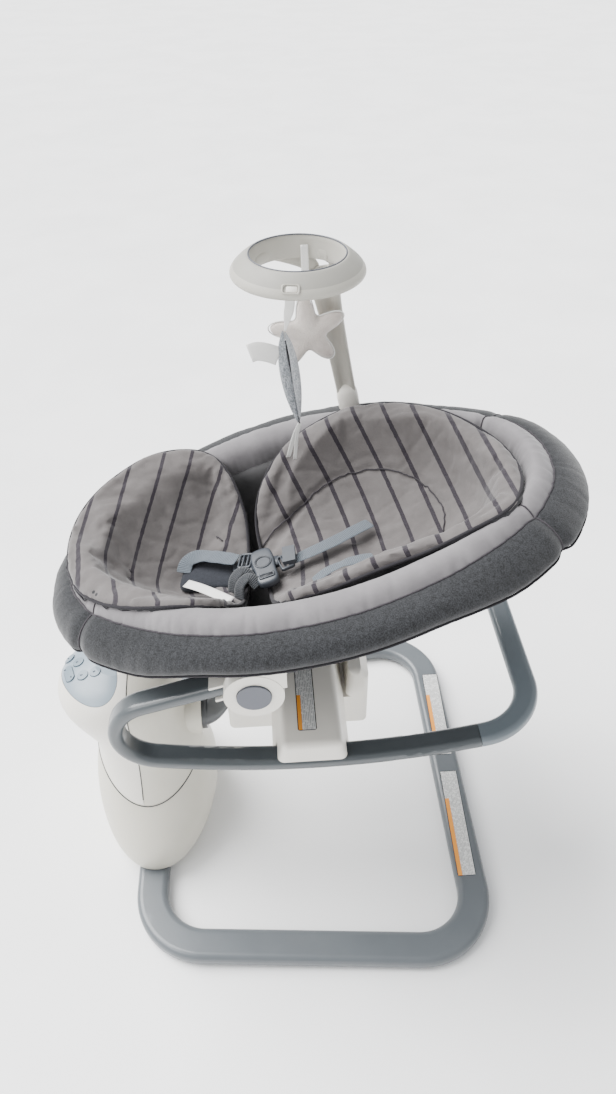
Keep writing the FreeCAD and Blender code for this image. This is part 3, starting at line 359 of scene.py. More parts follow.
def tube(name, path, radius, material, body, slot=None, closed=False, sides=8, squash=1.0):
    """Round cord along points in metres; the radius may be one number or one per point."""
    count = len(path)
    radii = radius if hasattr(radius, "__len__") else [radius] * count
    rows, normal = [], None
    for i, p in enumerate(path):
        before = path[i - 1] if i or closed else p
        after = path[(i + 1) % count] if i < count - 1 or closed else p
        along = (after - before).normalized()
        if normal is None:
            normal = along.orthogonal().normalized()
        normal = (normal - along * normal.dot(along)).normalized()
        across = along.cross(normal)
        rows.append([p + (normal * math.cos(a) + across * math.sin(a) * squash) * radii[i]
                     for a in turns(sides)])
    if closed:
        verts, faces = grid(rows, close_rows=True, close_columns=True)
    else:
        verts, faces = capped(rows)
    return piece(name, verts, faces, material, body, slot)


def ribbon(name, path, normals, width, thickness, material, body, slot=None, taper=None):
    """Flat strap along points in metres, with rounded edges and 'run' and 'side' coordinates."""
    count = len(path)
    outline = [(-1, -0.35), (-0.96, 0.5), (-0.5, 0.5), (0, 0.5), (0.5, 0.5), (0.96, 0.5), (1, -0.35),
               (0, -0.5)]
    rows, run, total = [], [], 0.0
    for i, p in enumerate(path):
        along = (path[min(i + 1, count - 1)] - path[max(i - 1, 0)]).normalized()
        up = (normals[i] - along * normals[i].dot(along)).normalized()
        across = along.cross(up)
        half = width / 2 * (taper[i] if taper else 1)
        total += (p - path[i - 1]).length * 1000 if i else 0
        run.append(total)
        rows.append([p + across * (x * half) + up * (y * thickness) for x, y in outline])
    made = piece(name, *capped(rows), material, body, slot)
    for label, values in (("run", [run[i] for i in range(count) for _ in outline]),
                          ("side", [x * width * 500 for _ in range(count) for x, y in outline])):
        made.data.attributes.new(label, "FLOAT", "POINT").data.foreach_set("value", values)
    return made


def rounded_rectangle(half_x, half_y, radius, steps=4):
    points = []
    for cx, cy, start in ((half_x - radius, half_y - radius, 0), (radius - half_x, half_y - radius, 90),
                          (radius - half_x, radius - half_y, 180), (half_x - radius, radius - half_y, 270)):
        for k in range(steps + 1):
            angle = math.radians(start + 90 * k / steps)
            points.append((cx + radius * math.cos(angle), cy + radius * math.sin(angle)))
    return points


def block(name, place, outline, levels, material, body, slot=None):
    """Stack an outline at several heights: levels are (height, shrink); place maps mm to the frame."""
    rows = [[place(x * k, y * k, z) for x, y in outline] for z, k in levels]
    return piece(name, *capped(rows), material, body, slot)


def patch_on(name, place, half_x, half_y, lift, material, body):
    """Thin sticker with rounded corners and its own flat coordinates."""
    outline = rounded_rectangle(half_x, half_y, min(half_x, half_y) * 0.25)
    shrinks = (1.0, 0.8, 0.55, 0.3, 0.05)
    flat = [(x * k, y * k) for k in shrinks for x, y in outline]
    rings = [[place(x * k, y * k, lift) for x, y in outline] for k in shrinks]
    verts, faces = grid(rings, close_columns=True)
    width = len(outline)
    faces.append(tuple(range(len(verts) - width, len(verts))))
    made = piece(name, verts, faces, material, body)
    for label, values in (("across", [x for x, y in flat]), ("along", [y for x, y in flat])):
        made.data.attributes.new(label, "FLOAT", "POINT").data.foreach_set("value", values)
    return made


# ---------------------------------------------------------------- oval rim
END_CENTER, END_RADIUS, HALF_WIDTH = 163.0, 135.0, 190.0
SIDE_DROP = (END_CENTER ** 2 - (HALF_WIDTH - END_RADIUS) ** 2) / (2 * (HALF_WIDTH - END_RADIUS))
SPLIT = math.atan2(SIDE_DROP, END_CENTER)
RIM_ARCS = ((END_CENTER, 0, END_RADIUS, -SPLIT, 2 * SPLIT),
            (0, -SIDE_DROP, HALF_WIDTH + SIDE_DROP, SPLIT, math.pi - 2 * SPLIT),
            (-END_CENTER, 0, END_RADIUS, math.pi - SPLIT, 2 * SPLIT),
            (0, SIDE_DROP, HALF_WIDTH + SIDE_DROP, math.pi + SPLIT, math.pi - 2 * SPLIT))
RIM_LENGTH = sum(radius * sweep for _, _, radius, _, sweep in RIM_ARCS)


def oval(distance):
    """Point and outward direction on the rim's seam oval, by distance along it in mm."""
    distance %= RIM_LENGTH
    for cx, cy, radius, start, sweep in RIM_ARCS:
        if distance <= radius * sweep:
            angle = start + distance / radius
            out = Vector((math.cos(angle), math.sin(angle), 0))
            return Vector((cx, cy, 0)) + out * radius, out
        distance -= radius * sweep
    return oval(0)


def nearest_on_oval(u, v):
    steps = 720
    spot = Vector((u, v, 0))
    return min((RIM_LENGTH * i / steps for i in range(steps)), key=lambda d: (oval(d)[0] - spot).length)


SEAMS = [nearest_on_oval(u, v) for u, v in ((253, 101), (-259, 95), (-259, -95), (253, -101))]
LIGHT_PROFILE = [(-34, -33), (-41, -24), (-43, -14), (-42, -2), (-38, 8), (-31, 15), (-22, 19), (-13, 18),
                 (-6, 12), (-1, 5)]
DARK_PROFILE = [(-1, 5), (6, 5), (15, 2), (24, -4), (32, -12), (37, -21), (38, -29), (34, -35), (27, -38),
                (14, -41), (0, -42), (-14, -41), (-26, -38), (-34, -33)]


def smooth_step(value, low, high):
    t = min(max((value - low) / (high - low), 0.0), 1.0)
    return t * t * (3 - 2 * t)


def rim_point(distance, radial, level):
    """A rim profile point, drawn in where panels are sewn together and gently uneven elsewhere."""
    base, out = oval(distance)
    gap = min(min((distance - s) % RIM_LENGTH, (s - distance) % RIM_LENGTH) for s in SEAMS)
    pinch = 1 - 0.13 * math.exp(-(gap / 7) ** 2)
    far_side = max(0.0, out.y) ** 2 * math.exp(-(base.x / 190) ** 2)
    slim = smooth_step(abs(out.y), 0.86, 0.968)
    if radial > 10:
        level += slim * 13 * (radial - 10) / 26
        radial -= slim * 3 * (radial - 10) / 26
    elif level < -33:
        level += slim * 9
    if radial < -20:
        radial += 7 * smooth_step(base.x, 120, 235) * min(1.0, (-20 - radial) / 14)
    core = -14
    radial, level = radial * pinch, core + (level - core) * pinch
    soft = noise.noise(Vector((base.x, base.y, radial + level)) / 38) * 1.3
    crease = noise.noise(Vector((distance / 17, radial / 40, 3)))
    soft -= 1.1 * max(0.0, 1 - abs(crease) * 7) * (1 if radial < 4 else 0.5)
    lift = far_side * 3 if level > -20 else 0
    spot = base + out * (radial + soft + far_side * 9)
    return seat(spot.x, spot.y, level + lift + soft * 0.6)


def rim_top(u, v):
    """Height of the rim's upper skin above the seat plane at (u, v), or None beside the rim."""
    side_angle = math.atan2(abs(v), abs(u) - END_CENTER)
    if side_angle <= SPLIT:
        radial = math.hypot(abs(u) - END_CENTER, v) - END_RADIUS
    else:
        radial = math.hypot(u, abs(v) + SIDE_DROP) - HALF_WIDTH - SIDE_DROP
    if v > 0:
        radial -= 9 * (v / HALF_WIDTH) ** 2 * math.exp(-(u / 190) ** 2)
    profile = LIGHT_PROFILE[2:] + DARK_PROFILE[1:6]
    if not -46 < radial < 37:
        return None
    if radial <= profile[0][0]:
        return profile[0][1]
    for (r0, w0), (r1, w1) in zip(profile, profile[1:]):
        if radial <= r1:
            return w0 + (w1 - w0) * (radial - r0) / (r1 - r0)
    return profile[-1][1]


def rim():
    count = 520
    stations = [RIM_LENGTH * i / count for i in range(count)]
    for name, profile, material in (("rim_light_band", LIGHT_PROFILE, RIM_LIGHT),
                                    ("rim_dark_band", DARK_PROFILE, RIM_DARK)):
        rows = [[rim_point(d, r, w) for r, w in profile] for d in stations]
        verts, faces = grid(rows, close_rows=True)
        made = piece(name, verts, [tuple(reversed(f)) for f in faces], material, "seat", "fabric_rim")
        subdivide(made)
        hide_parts("rim_cover")
    tube("rim_seam_piping", [rim_point(d, 0.2, 5.4) for d in stations], 0.0011, THREAD, "seat", "fabric_rim",
         True)
    tube("rim_lower_piping", [rim_point(d, 35.5, -34.5) for d in stations], 0.0014, PIPING, "seat",
         "fabric_rim",
         True)
    for i, seam in enumerate(SEAMS):
        path = [rim_point(seam, r * 1.01, w + 0.3) for r, w in LIGHT_PROFILE[1:] + DARK_PROFILE[1:9]]
        tube("rim_panel_seam_%s" % "abcd"[i], path, 0.001, THREAD, "seat", "fabric_rim")


# ---------------------------------------------------------------- bucket under the cushions
BUCKET = [(-22, 0, 258, 150), (-48, -4, 256, 149), (-76, -14, 244, 144), (-104, -28, 220, 136),
          (-132, -44, 186, 122), (-156, -62, 150, 104), (-172, -74, 112, 78), (-178, -80, 50, 36)]


def bucket():
    count = 128
    # The lining's material is painted shade: the light-band knit made darker for the shadowed inside of the
    # bucket.
    for name, grow, rise, material in (("bucket_lining", -3, 3, LINING_PAINTED_SHADE), ("bucket_cloth", 1.5, 0, POUCH)):
        rows = []
        for k, (depth, shift, half_length, half_width) in enumerate(BUCKET):
            row = []
            for j in range(count):
                angle = 2 * math.pi * j / count
                wave = noise.noise(Vector((math.cos(angle) * 3, math.sin(angle) * 3, depth / 60))) * 3.0
                wave *= 0.2 if k == 0 else (1.0 if name == "bucket_cloth" else 0.4)
                row.append(seat(shift + (half_length + grow + wave) * math.cos(angle),
                                (half_width + grow + wave) * math.sin(angle), depth + rise))
            rows.append(row)
        if name == "bucket_lining":
            top = [rim_point(nearest_on_oval(258 * math.cos(a), 152 * math.sin(a)), -40, -17)
                   for a in turns(count)]
            rows.insert(0, top)
        verts, faces = grid(rows, close_columns=True)
        faces.append(tuple(range(len(verts) - count, len(verts))))
        made = piece(name, verts, faces, material, "seat", "fabric_dark")
        shell = made.modifiers.new("cloth", "SOLIDIFY")
        shell.thickness = 0.0012
        subdivide(made)
        if name == "bucket_cloth":
            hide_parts("seat_pouch")
    depth, shift, half_length, half_width = BUCKET[2]
    path = [seat(shift + (half_length + 2.6) * math.cos(a), (half_width + 2.6) * math.sin(a), depth)
            for a in turns(96)]
    tube("bucket_seam", path, 0.0012, THREAD, "seat", "fabric_dark", True, 6)


# ---------------------------------------------------------------- padded cushions
CUSHION_SECTION = [(0.0, 0.0), (0.18, 0.004), (0.34, 0.025), (0.48, 0.08), (0.60, 0.18), (0.70, 0.34),
                   (0.77, 0.52), (0.82, 0.70), (0.86, 0.87), (0.895, 1.0), (0.925, 1.08), (0.95, 1.10),
                   (0.972, 1.07), (0.99, 1.02), (1.0, 0.99)]


def cushion_form(center, edge, ease):
    """Closed skin of a cupped cushion: top from its floor up to the edge, gusset, and underside."""
    cu, cv, cw = center
    count = len(edge)

    def top(point, g, h):
        tall = smooth_step(point.z - cw, 15, 80)
        flat_h = g ** 2.2
        steep = min(h, 1.0) + ease * (g ** 1.8 - min(h, 1.0)) * (1 - smooth_step(g, 0.78, 0.96))
        share = flat_h + (steep - flat_h) * tall
        crest = max(h - 1.0, 0.0) * (95 if point.y < 40 else 45) * tall
        bulge = 7 * math.sin(math.pi * min(g / 0.95, 1.0)) * (1 - tall)
        return Vector((cu + (point.x - cu) * g, cv + (point.y - cv) * g,
                       cw + (point.z - cw) * share + crest + bulge))

    upper = [[top(p, g, h) for p in edge] for g, h in CUSHION_SECTION[1:]]
    for (g, h), row in zip(CUSHION_SECTION[1:], upper):
        for point in row:
            under = rim_top(point.x, point.y)
            if under is not None:
                point.z = max(point.z, under + 3 + 6 * smooth_step(1 - g, 0.0, 0.06))
    for _ in range(16):
        for i in range(1, len(upper) - 1):
            for j in range(count):
                near = (upper[i - 1][j].z + upper[i + 1][j].z + upper[i][j - 1].z
                        + upper[i][(j + 1) % count].z) / 4
                if near > upper[i][j].z:
                    upper[i][j].z += (near - upper[i][j].z) * 0.6
    lower = []
    for (g, h), above in zip(CUSHION_SECTION[1:], upper):
        pad = 20 - 7 * g
        row = []
        for p, t in zip(edge, above):
            out = Vector((p.x - cu, p.y - cv, 0)).normalized()
            t = t.copy()
            t.z -= max(h - 1.0, 0.0) * 60
            side = smooth_step(p.z - cw, 15, 80) * smooth_step(g, 0.45, 0.8)
            spread = out * pad * 0.8 * side * (1.35 - g * 0.9)
            row.append(t + spread + Vector((0, 0, -pad * (1 - 0.5 * side))))
        lower.append(row)
    rows = upper + lower[::-1]
    verts = [Vector((cu, cv, cw))] + [p for row in rows for p in row] + [Vector((cu, cv, cw - 20))]
    faces = [(0, 1 + j, 1 + (j + 1) % count) for j in range(count)]
    for i in range(len(rows) - 1):
        for j in range(count):
            m = (j + 1) % count
            faces.append((1 + i * count + j, 1 + (i + 1) * count + j, 1 + (i + 1) * count + m,
                          1 + i * count + m))
    last = 1 + (len(rows) - 1) * count
    faces += [(last + j, len(verts) - 1, last + (j + 1) % count) for j in range(count)]
    return verts, faces, upper


def mesh_tree(mesh):
    return BVHTree.FromPolygons([v.co.copy() for v in mesh.vertices],
                                [tuple(f.vertices) for f in mesh.polygons])


def evaluated_mesh(made):
    graph = bpy.context.evaluated_depsgraph_get()
    return bpy.data.meshes.new_from_object(made.evaluated_get(graph), depsgraph=graph)


def swap_mesh(made, mesh):
    made.modifiers.clear()
    made.data = mesh


def stuff(made, voxel, cap, pressure=4.0, held=None):
    """Remesh evenly, blow the cover up a little as cloth, and keep each point within cap metres."""
    remesh = made.modifiers.new("even", "REMESH")
    remesh.mode = "VOXEL"
    remesh.voxel_size = voxel
    remesh.use_smooth_shade = True
    swap_mesh(made, evaluated_mesh(made))
    start = [v.co.copy() for v in made.data.vertices]
    if held:
        group = made.vertex_groups.new(name="held")
        group.add([i for i, p in enumerate(start) if held(p)], 1.0, "REPLACE")
    cloth = made.modifiers.new("stuffing", "CLOTH")
    settings = cloth.settings
    settings.quality = 5
    settings.mass = 0.25
    settings.tension_stiffness = 12
    settings.compression_stiffness = 6
    settings.shear_stiffness = 4
    settings.bending_stiffness = 0.6
    settings.use_pressure = True
    settings.uniform_pressure_force = pressure
    settings.effector_weights.gravity = 0.0
    if held:
        settings.vertex_group_mass = "held"
    cloth.collision_settings.use_collision = False
    scene = bpy.context.scene
    for step in range(1, 21):
        scene.frame_set(step)
    mesh = evaluated_mesh(made)
    scene.frame_set(1)
    for vertex, origin in zip(mesh.vertices, start):
        move = vertex.co - origin
        if move.length > cap:
            vertex.co = origin + move.normalized() * cap
    swap_mesh(made, mesh)
    mesh.polygons.foreach_set("use_smooth", [True] * len(mesh.polygons))


EDGE_COUNT = 150
LEG_EDGE = [(-120, 152, 24), (-155, 154, 37), (-195, 143, 45), (-222, 124, 46), (-258, 99, 42),
            (-284, 66, 35), (-295, 25, 29), (-293, -18, 25), (-281, -57, 19), (-261, -82, 17),
            (-237, -102, 19), (-204, -119, 19), (-170, -130, 18), (-134, -132, 12), (-106, -124, -2),
            (-97, -102, -26), (-96, -72, -56), (-95, -38, -74), (-93, 0, -80), (-91, 34, -74), (-87, 58, -58),
            (-85, 80, -36), (-92, 112, -8), (-103, 138, 10)]
HEAD_EDGE = [(-45, 106, 0), (-22, 131, 12), (8, 151, 20), (45, 166, 24), (84, 172, 26), (130, 163, 25),
             (165, 144, 23), (193, 120, 22), (222, 84, 18), (243, 45, 16), (256, 5, 14), (258, -30, 13),
             (249, -70, 13), (235, -95, 12), (211, -109, 12), (189, -114, 11), (164, -119, 8), (137, -119, 6),
             (110, -122, 3), (90, -123, 3), (46, -130, -2), (2, -134, -6), (-30, -126, -14), (-48, -108, -30),
             (-58, -80, -54), (-66, -40, -74), (-70, 0, -80), (-74, 30, -74), (-76, 52, -56), (-72, 72, -34),
             (-60, 90, -14)]
LEG_SEAM = [(-239, -21, -29), (-238, 14, -26), (-230, 48, -19), (-216, 67, -11), (-199, 79, -14),
            (-180, 84, -23), (-160, 88, -38), (-141, 84, -57), (-120, 61, -64)]
HEAD_SEAM = [(-71, 39, -67), (-52, 52, -56), (-28, 69, -49), (2, 92, -45), (36, 111, -43), (68, 117, -43),
             (98, 109, -41), (124, 98, -43), (147, 78, -50), (161, 56, -56), (169, 25, -60), (169, 3, -65),
             (162, -19, -67)]


def wrinkle(made, rim_line):
    """Soft folds over the stuffed cover, and short puckers running in from its sewn edge."""
    spacing = BVHTree.FromPolygons(rim_line, [(i, (i + 1) % len(rim_line), i) for i in range(len(rim_line))])
    for vertex in made.data.vertices:
        p = vertex.co * 1000
        fold = noise.noise(Vector((p.x / 42, p.y / 20, p.z / 30 + 5)))
        depth = 1.5 * max(0.0, 1 - abs(fold) * 6)
        swell = noise.noise(p / 55) * 1.3
        hit = spacing.find_nearest(vertex.co, 0.03)
        if hit[0] is not None:
            pucker = noise.noise(hit[0] * 1000 / 9)
            depth += 1.6 * max(0.0, pucker) * math.sin(math.pi * hit[3] / 0.03)
        vertex.co += vertex.normal * (swell - depth) / 1000


def seam_dips(made, tree_points, reach, depth):
    """Sink a sewn line into a stuffed surface."""
    for vertex in made.data.vertices:
        near = min((vertex.co - p).length for p in tree_points)
        if near < reach:
            vertex.co -= vertex.normal * depth * (1 - (near / reach) ** 2) ** 2


def cushion(name, center, edge_points, seam_points, node, cloth, lines, ease):
    """Stuffed, piped cushion with a sewn inner line; a higher ease makes its bowl gentler."""
    edge = spline([Vector(p) for p in edge_points], EDGE_COUNT, closed=True)
    verts, faces, upper = cushion_form(center, edge, ease)
    made = piece(name, [seat(*v) for v in verts], faces, cloth, "seat", "fabric_light")
    rim_line = [seat(*p) for p in upper[-1]]
    holds = BVHTree.FromPolygons(rim_line, [(i, (i + 1) % EDGE_COUNT, i) for i in range(EDGE_COUNT)])
    stuff(made, 0.005, 0.009, held=lambda p: (holds.find_nearest(p)[3] or 1) < 0.006)
    wrinkle(made, rim_line)
    surface = mesh_tree(made.data)
    seam = [surface.find_nearest(seat(*p))[0] for p in spline(seam_points, 90)]
    seam_dips(made, seam, 0.010, 0.0024)
    form = BVHTree.FromPolygons([seat(*v) for v in verts], faces)
    top_faces = EDGE_COUNT * len(upper)
    below = []
    for vertex in made.data.vertices:
        reach = (holds.find_nearest(vertex.co)[3] or 0) * 1000
        below.append(reach if form.find_nearest(vertex.co)[2] >= top_faces else -reach)
    made.data.attributes.new("below", "FLOAT", "POINT").data.foreach_set("value", below)
    values = [lines(*seat_inverse(v.co)) for v in made.data.vertices]
    made.data.attributes.new("lines", "FLOAT", "POINT").data.foreach_set("value", values)
    subdivide(made)
    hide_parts(node)
    piping = [surface.find_nearest(p)[0].lerp(p, 0.4) for p in rim_line]
    smooth_piping = [sum((piping[(i + k) % EDGE_COUNT] for k in range(-4, 5)), Vector()) / 9
                     for i in range(EDGE_COUNT)]
    tube(name + "_piping", smooth_piping, 0.0023, PIPING, "seat", "fabric_light", True)
    lower = [p + seat(0, 0, -11) - seat(0, 0, 0) for p in smooth_piping]
    lower = [surface.find_nearest(p)[0] for p in lower]
    tube(name + "_lower_piping", lower, 0.0013, PIPING, "seat", "fabric_light", True, 6)
    tube(name + "_seam", [p + (surface.find_nearest(p)[1] * -0.0004) for p in seam], 0.0009, THREAD, "seat",
         "fabric_light")
    return surface


def leg_lines(u, v, w):
    return u - 0.74 * w - 0.05 * v + 0.25 * min(v, 0)


def head_lines(u, v, w):
    return u + 0.24 * w + 0.08 * v


# ---------------------------------------------------------------- harness
def resting(surfaces, u, v, fallback, lift):
    """Point a little above the highest cushion under (u, v), and its normal."""
    start, down = seat(u, v, 90), seat(0, 0, -1) - seat(0, 0, 0)
    hits = [s.ray_cast(start, down.normalized(), 0.3) for s in surfaces]
    hits = [h for h in hits if h[0] is not None]
    up = -down.normalized()
    if not hits:
        return seat(u, v, fallback) + up * lift, up
    best = max(hits, key=lambda h: h[0].dot(up))
    normal = best[1] if best[1].dot(up) > 0 else -best[1]
    return best[0] + up * lift, (normal + up).normalized()


def lying_strap(name, surfaces, route, node=None):
    """Webbing strap that lies on the cushions, or above them where its route says so."""
    lift, width, thickness = 0.0022, 0.021, 0.0018
    points, normals = [], []
    for u, v, w in spline(route, 40):
        p, n = resting(surfaces, u, v, w, lift)
        wanted = seat(u, v, w)
        up = (seat(0, 0, 1) - seat(0, 0, 0)).normalized()
        if (wanted - p).dot(up) > 0:
            p = wanted
        points.append(p)
        normals.append(n)
    for _ in range(6):
        points = [points[0]] + [(points[i - 1] + 2 * points[i] + points[i + 1]) / 4
                                for i in range(1, len(points) - 1)] + [points[-1]]
        normals = [normals[0]] + [(normals[i - 1] + 2 * normals[i] + normals[i + 1]).normalized()
                                  for i in range(1, len(normals) - 1)] + [normals[-1]]
    made = ribbon(name, points, normals, width, thickness, STRAP, "seat", "webbing")
    subdivide(made)
    if node:
        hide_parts(node)


def frame_at(origin, along, up):
    """Map local millimetres to the frame: x along, y across, z up."""
    along = along.normalized()
    up = (up - along * up.dot(along)).normalized()
    across = up.cross(along)
    return lambda x, y, z: origin + (along * x + across * y + up * z) / 1000


def slide_adjuster(name, place, half_length=9, half_width=13.5):
    """Ladder adjuster: a rounded frame with two slots and a raised middle bar."""
    outer = rounded_rectangle(half_length, half_width, 3)
    levels = ((-1.5, 0.92), (-1.5, 1.0), (1.5, 1.0), (2.6, 0.94), (2.6, 0.80), (1.0, 0.76), (-1.0, 0.76),
              (-1.5, 0.80))
    rows = [[place(x * k, y * k, z) for x, y in outer] for z, k in levels]
    verts, faces = grid(rows, close_rows=True, close_columns=True)
    piece(name, verts, faces, BUCKLE, "seat", "buckle_grey")
    for tag, x in (("a", -2.8), ("b", 3.2)):
        section = ((-1.2, -0.8), (1.2, -0.8), (1.4, 1.4), (0, 2.6), (-1.4, 1.4))
        bar = [[place(x + dx, y, dz) for dx, dz in section]
               for y in (-half_width * 0.8, -half_width * 0.3, half_width * 0.3, half_width * 0.8)]
        piece("%s_bar_%s" % (name, tag), *capped(bar), BUCKLE, "seat", "buckle_grey")


def buckle(place):
    """Harness buckle: waisted body with a raised bezel, side prongs and a slot at its lower end."""
    half = [(-30, 8), (-27, 12), (-18, 12.5), (-8, 11.5), (4, 13.5), (14, 13), (24, 12), (28, 9)]
    outline = half + [(29, 0)] + [(x, -y) for x, y in reversed(half)] + [(-31, 0)]
    rows = [[place(x * k, y * k, z) for x, y in outline]
            for z, k in ((-4, 0.90), (-3, 1.0), (3.5, 1.0), (6.0, 0.95), (7.0, 0.86), (7.2, 0.6), (7.2, 0.2))]
    made = piece("buckle_shell", *capped(rows), BUCKLE, "seat", "buckle_grey")
    subdivide(made)
    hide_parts("buckle_body")
    for k, (radius, height) in enumerate(((9.2, 7.6), (8.0, 7.4))):
        ring = [place(3 + radius * math.cos(a), radius * math.sin(a), height)
                for a in turns(36)]
        tube("buckle_bezel_%s" % "ab"[k], ring, 0.0008, BUCKLE if k == 0 else DARK, "seat", "buckle_grey",
             True, 6)
    slot = [place(-20 + x * 0.5, y, 7.4) for x, y in rounded_rectangle(6, 8, 2)]
    tube("buckle_slot_rim", slot, 0.0012, BUCKLE, "seat", "buckle_grey", True, 6)
    block("buckle_slot", lambda x, y, z: place(x * 0.5 - 20, y, z), rounded_rectangle(5.4, 7.4, 2),
          ((6.0, 1.0), (7.6, 1.0)), DARK, "seat", "buckle_grey")
    for k, side in enumerate((-1, 1)):
        tab = [[place(x, side * y, z) for x, y in ((-4, 12), (10, 12), (9, 18), (-3, 18))] for z in (-2, 4)]
        piece("buckle_prong_%s" % "ab"[k], *capped(tab), BUCKLE, "seat", "buckle_grey")


def harness(surfaces):
    lying_strap("waist_strap_foot", surfaces,
                [(-176, 14, -60), (-168, 28, -53), (-150, 28, -50), (-128, 18, -49), (-100, 4, -50)],
                "waist_straps")
    lying_strap("shoulder_strap_far", surfaces,
                [(-34, -16, -55), (-7, -6, -56), (27, 8, -58), (54, 22, -60), (74, 34, -64)],
                "shoulder_straps")
    lying_strap("waist_strap_near", surfaces,
                [(-2, -84, -34), (14, -78, -28), (42, -72, -26), (72, -68, -30)])
    origin = seat(-66, -14, -58)
    along = seat(-72, 30, -58) - seat(-58, -52, -58)
    up = seat(0, 0, 1) - seat(0, 0, 0)
    enlarge = frame_at(origin, along, up)
    buckle(lambda x, y, z: enlarge(x * 1.15, y * 1.15, z * 1.1))
    slide_adjuster("adjuster_foot", frame_at(seat(-90, 2, -54), seat(-100, 4, 0) - seat(-80, 0, 0), up))
    slide_adjuster("adjuster_head", frame_at(seat(-38, -17, -53), seat(-30, -14, 0) - seat(-50, -20, 0), up))
    pad_place = frame_at(seat(-134, 10, -70), seat(-100, 0, -4) - seat(-160, 10, 0), up)
    pad = block("crotch_pad_cover", pad_place, rounded_rectangle(46, 30, 12),
                ((-5, 0.9), (-4, 1.0), (4, 1.0), (7, 0.9), (8, 0.5)), PAD, "seat", "webbing")
    subdivide(pad)
    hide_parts("crotch_pad")
    for k, (u0, v0) in enumerate(((-104, -30), (-96, -44))):
        loop = spline([seat(u0 - 6, v0 - 8, -66), seat(u0, v0, -50), seat(u0 + 12, v0 + 6, -46),
                       seat(u0 + 22, v0 - 2, -56)], 24)
        ribbon("buckle_loop_%s" % "ab"[k], loop, [up] * 24, 0.016, 0.0016, STRAP_DARK, "seat", "webbing")
    label = spline([seat(-168, -16, -52), seat(-148, -33, -49), seat(-128, -50, -49), seat(-108, -66, -52)],
                   20)
    ribbon("care_label", label, [up] * 20, 0.013, 0.0006, SATIN, "seat", "webbing")


# ---------------------------------------------------------------- mobile and toys
HALO = Vector((0.012, 0.115, 0.0))


def mobile():
    count = 96
    profile = [(54, 855), (56.5, 856), (59, 854.5), (66, 849.5), (73, 843), (76.6, 838), (76.8, 834.5),
               (75, 832), (72, 832.5), (66, 838), (60, 843), (57.5, 842), (57, 836), (56.4, 829), (54.6, 827),
               (53, 829), (52.8, 840), (53, 851)]
    rows = [[HALO + mm(r * math.cos(a), r * math.sin(a), z) for r, z in profile]
            for a in turns(count)]
    verts, faces = grid(rows, close_rows=True, close_columns=True)
    ring = piece("mobile_halo", verts, faces, MOBILE, "mobile", "mobile_greige")
    ring.data.materials.append(MOBILE_BAND)
    for face in ring.data.polygons:
        column = min(v % len(profile) for v in face.vertices)
        if 1 <= column <= 3:
            face.material_index = 1
    subdivide(ring)
    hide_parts("mobile_ring")
    edge = [HALO + mm(54.6 * math.cos(a), 54.6 * math.sin(a), 855.6) for a in turns(96)]
    tube("halo_inner_edge", edge, 0.0009, CAP, "mobile", "mobile_greige", True, 6)

    facing = math.radians(-99)
    out = Vector((math.cos(facing), math.sin(facing), 0))
    spot = HALO + out * 0.0715 + Vector((0, 0, 0.8435))
    slope = Vector((out.x, out.y, 0.9)).normalized()
    place = frame_at(spot, Vector((-out.y, out.x, 0)), slope)
    rows = [[place(x * k, y * k, z) for x, y in rounded_rectangle(10, 5.4, 3)]
            for z, k in ((-2, 1.0), (1.2, 1.0), (1.8, 0.92), (1.6, 0.80), (-1.5, 0.74))]
    piece("halo_clip_bezel", *grid(rows, close_columns=True), MOBILE, "mobile", "mobile_greige")
    block("halo_clip_latch", lambda x, y, z: place(x * 0.62 + 1, y * 0.62, z),
          rounded_rectangle(10, 5.4, 2.4),
          ((-1.8, 1.0), (0.2, 1.0), (0.8, 0.9)), WHITE, "mobile", "mobile_greige")
    block("halo_clip_hollow", lambda x, y, z: place(x * 0.8, y * 0.8, z), rounded_rectangle(10, 5.4, 3),
          ((-2.2, 1.0), (-1.2, 1.0)), CAP, "mobile", "mobile_greige")
    post()


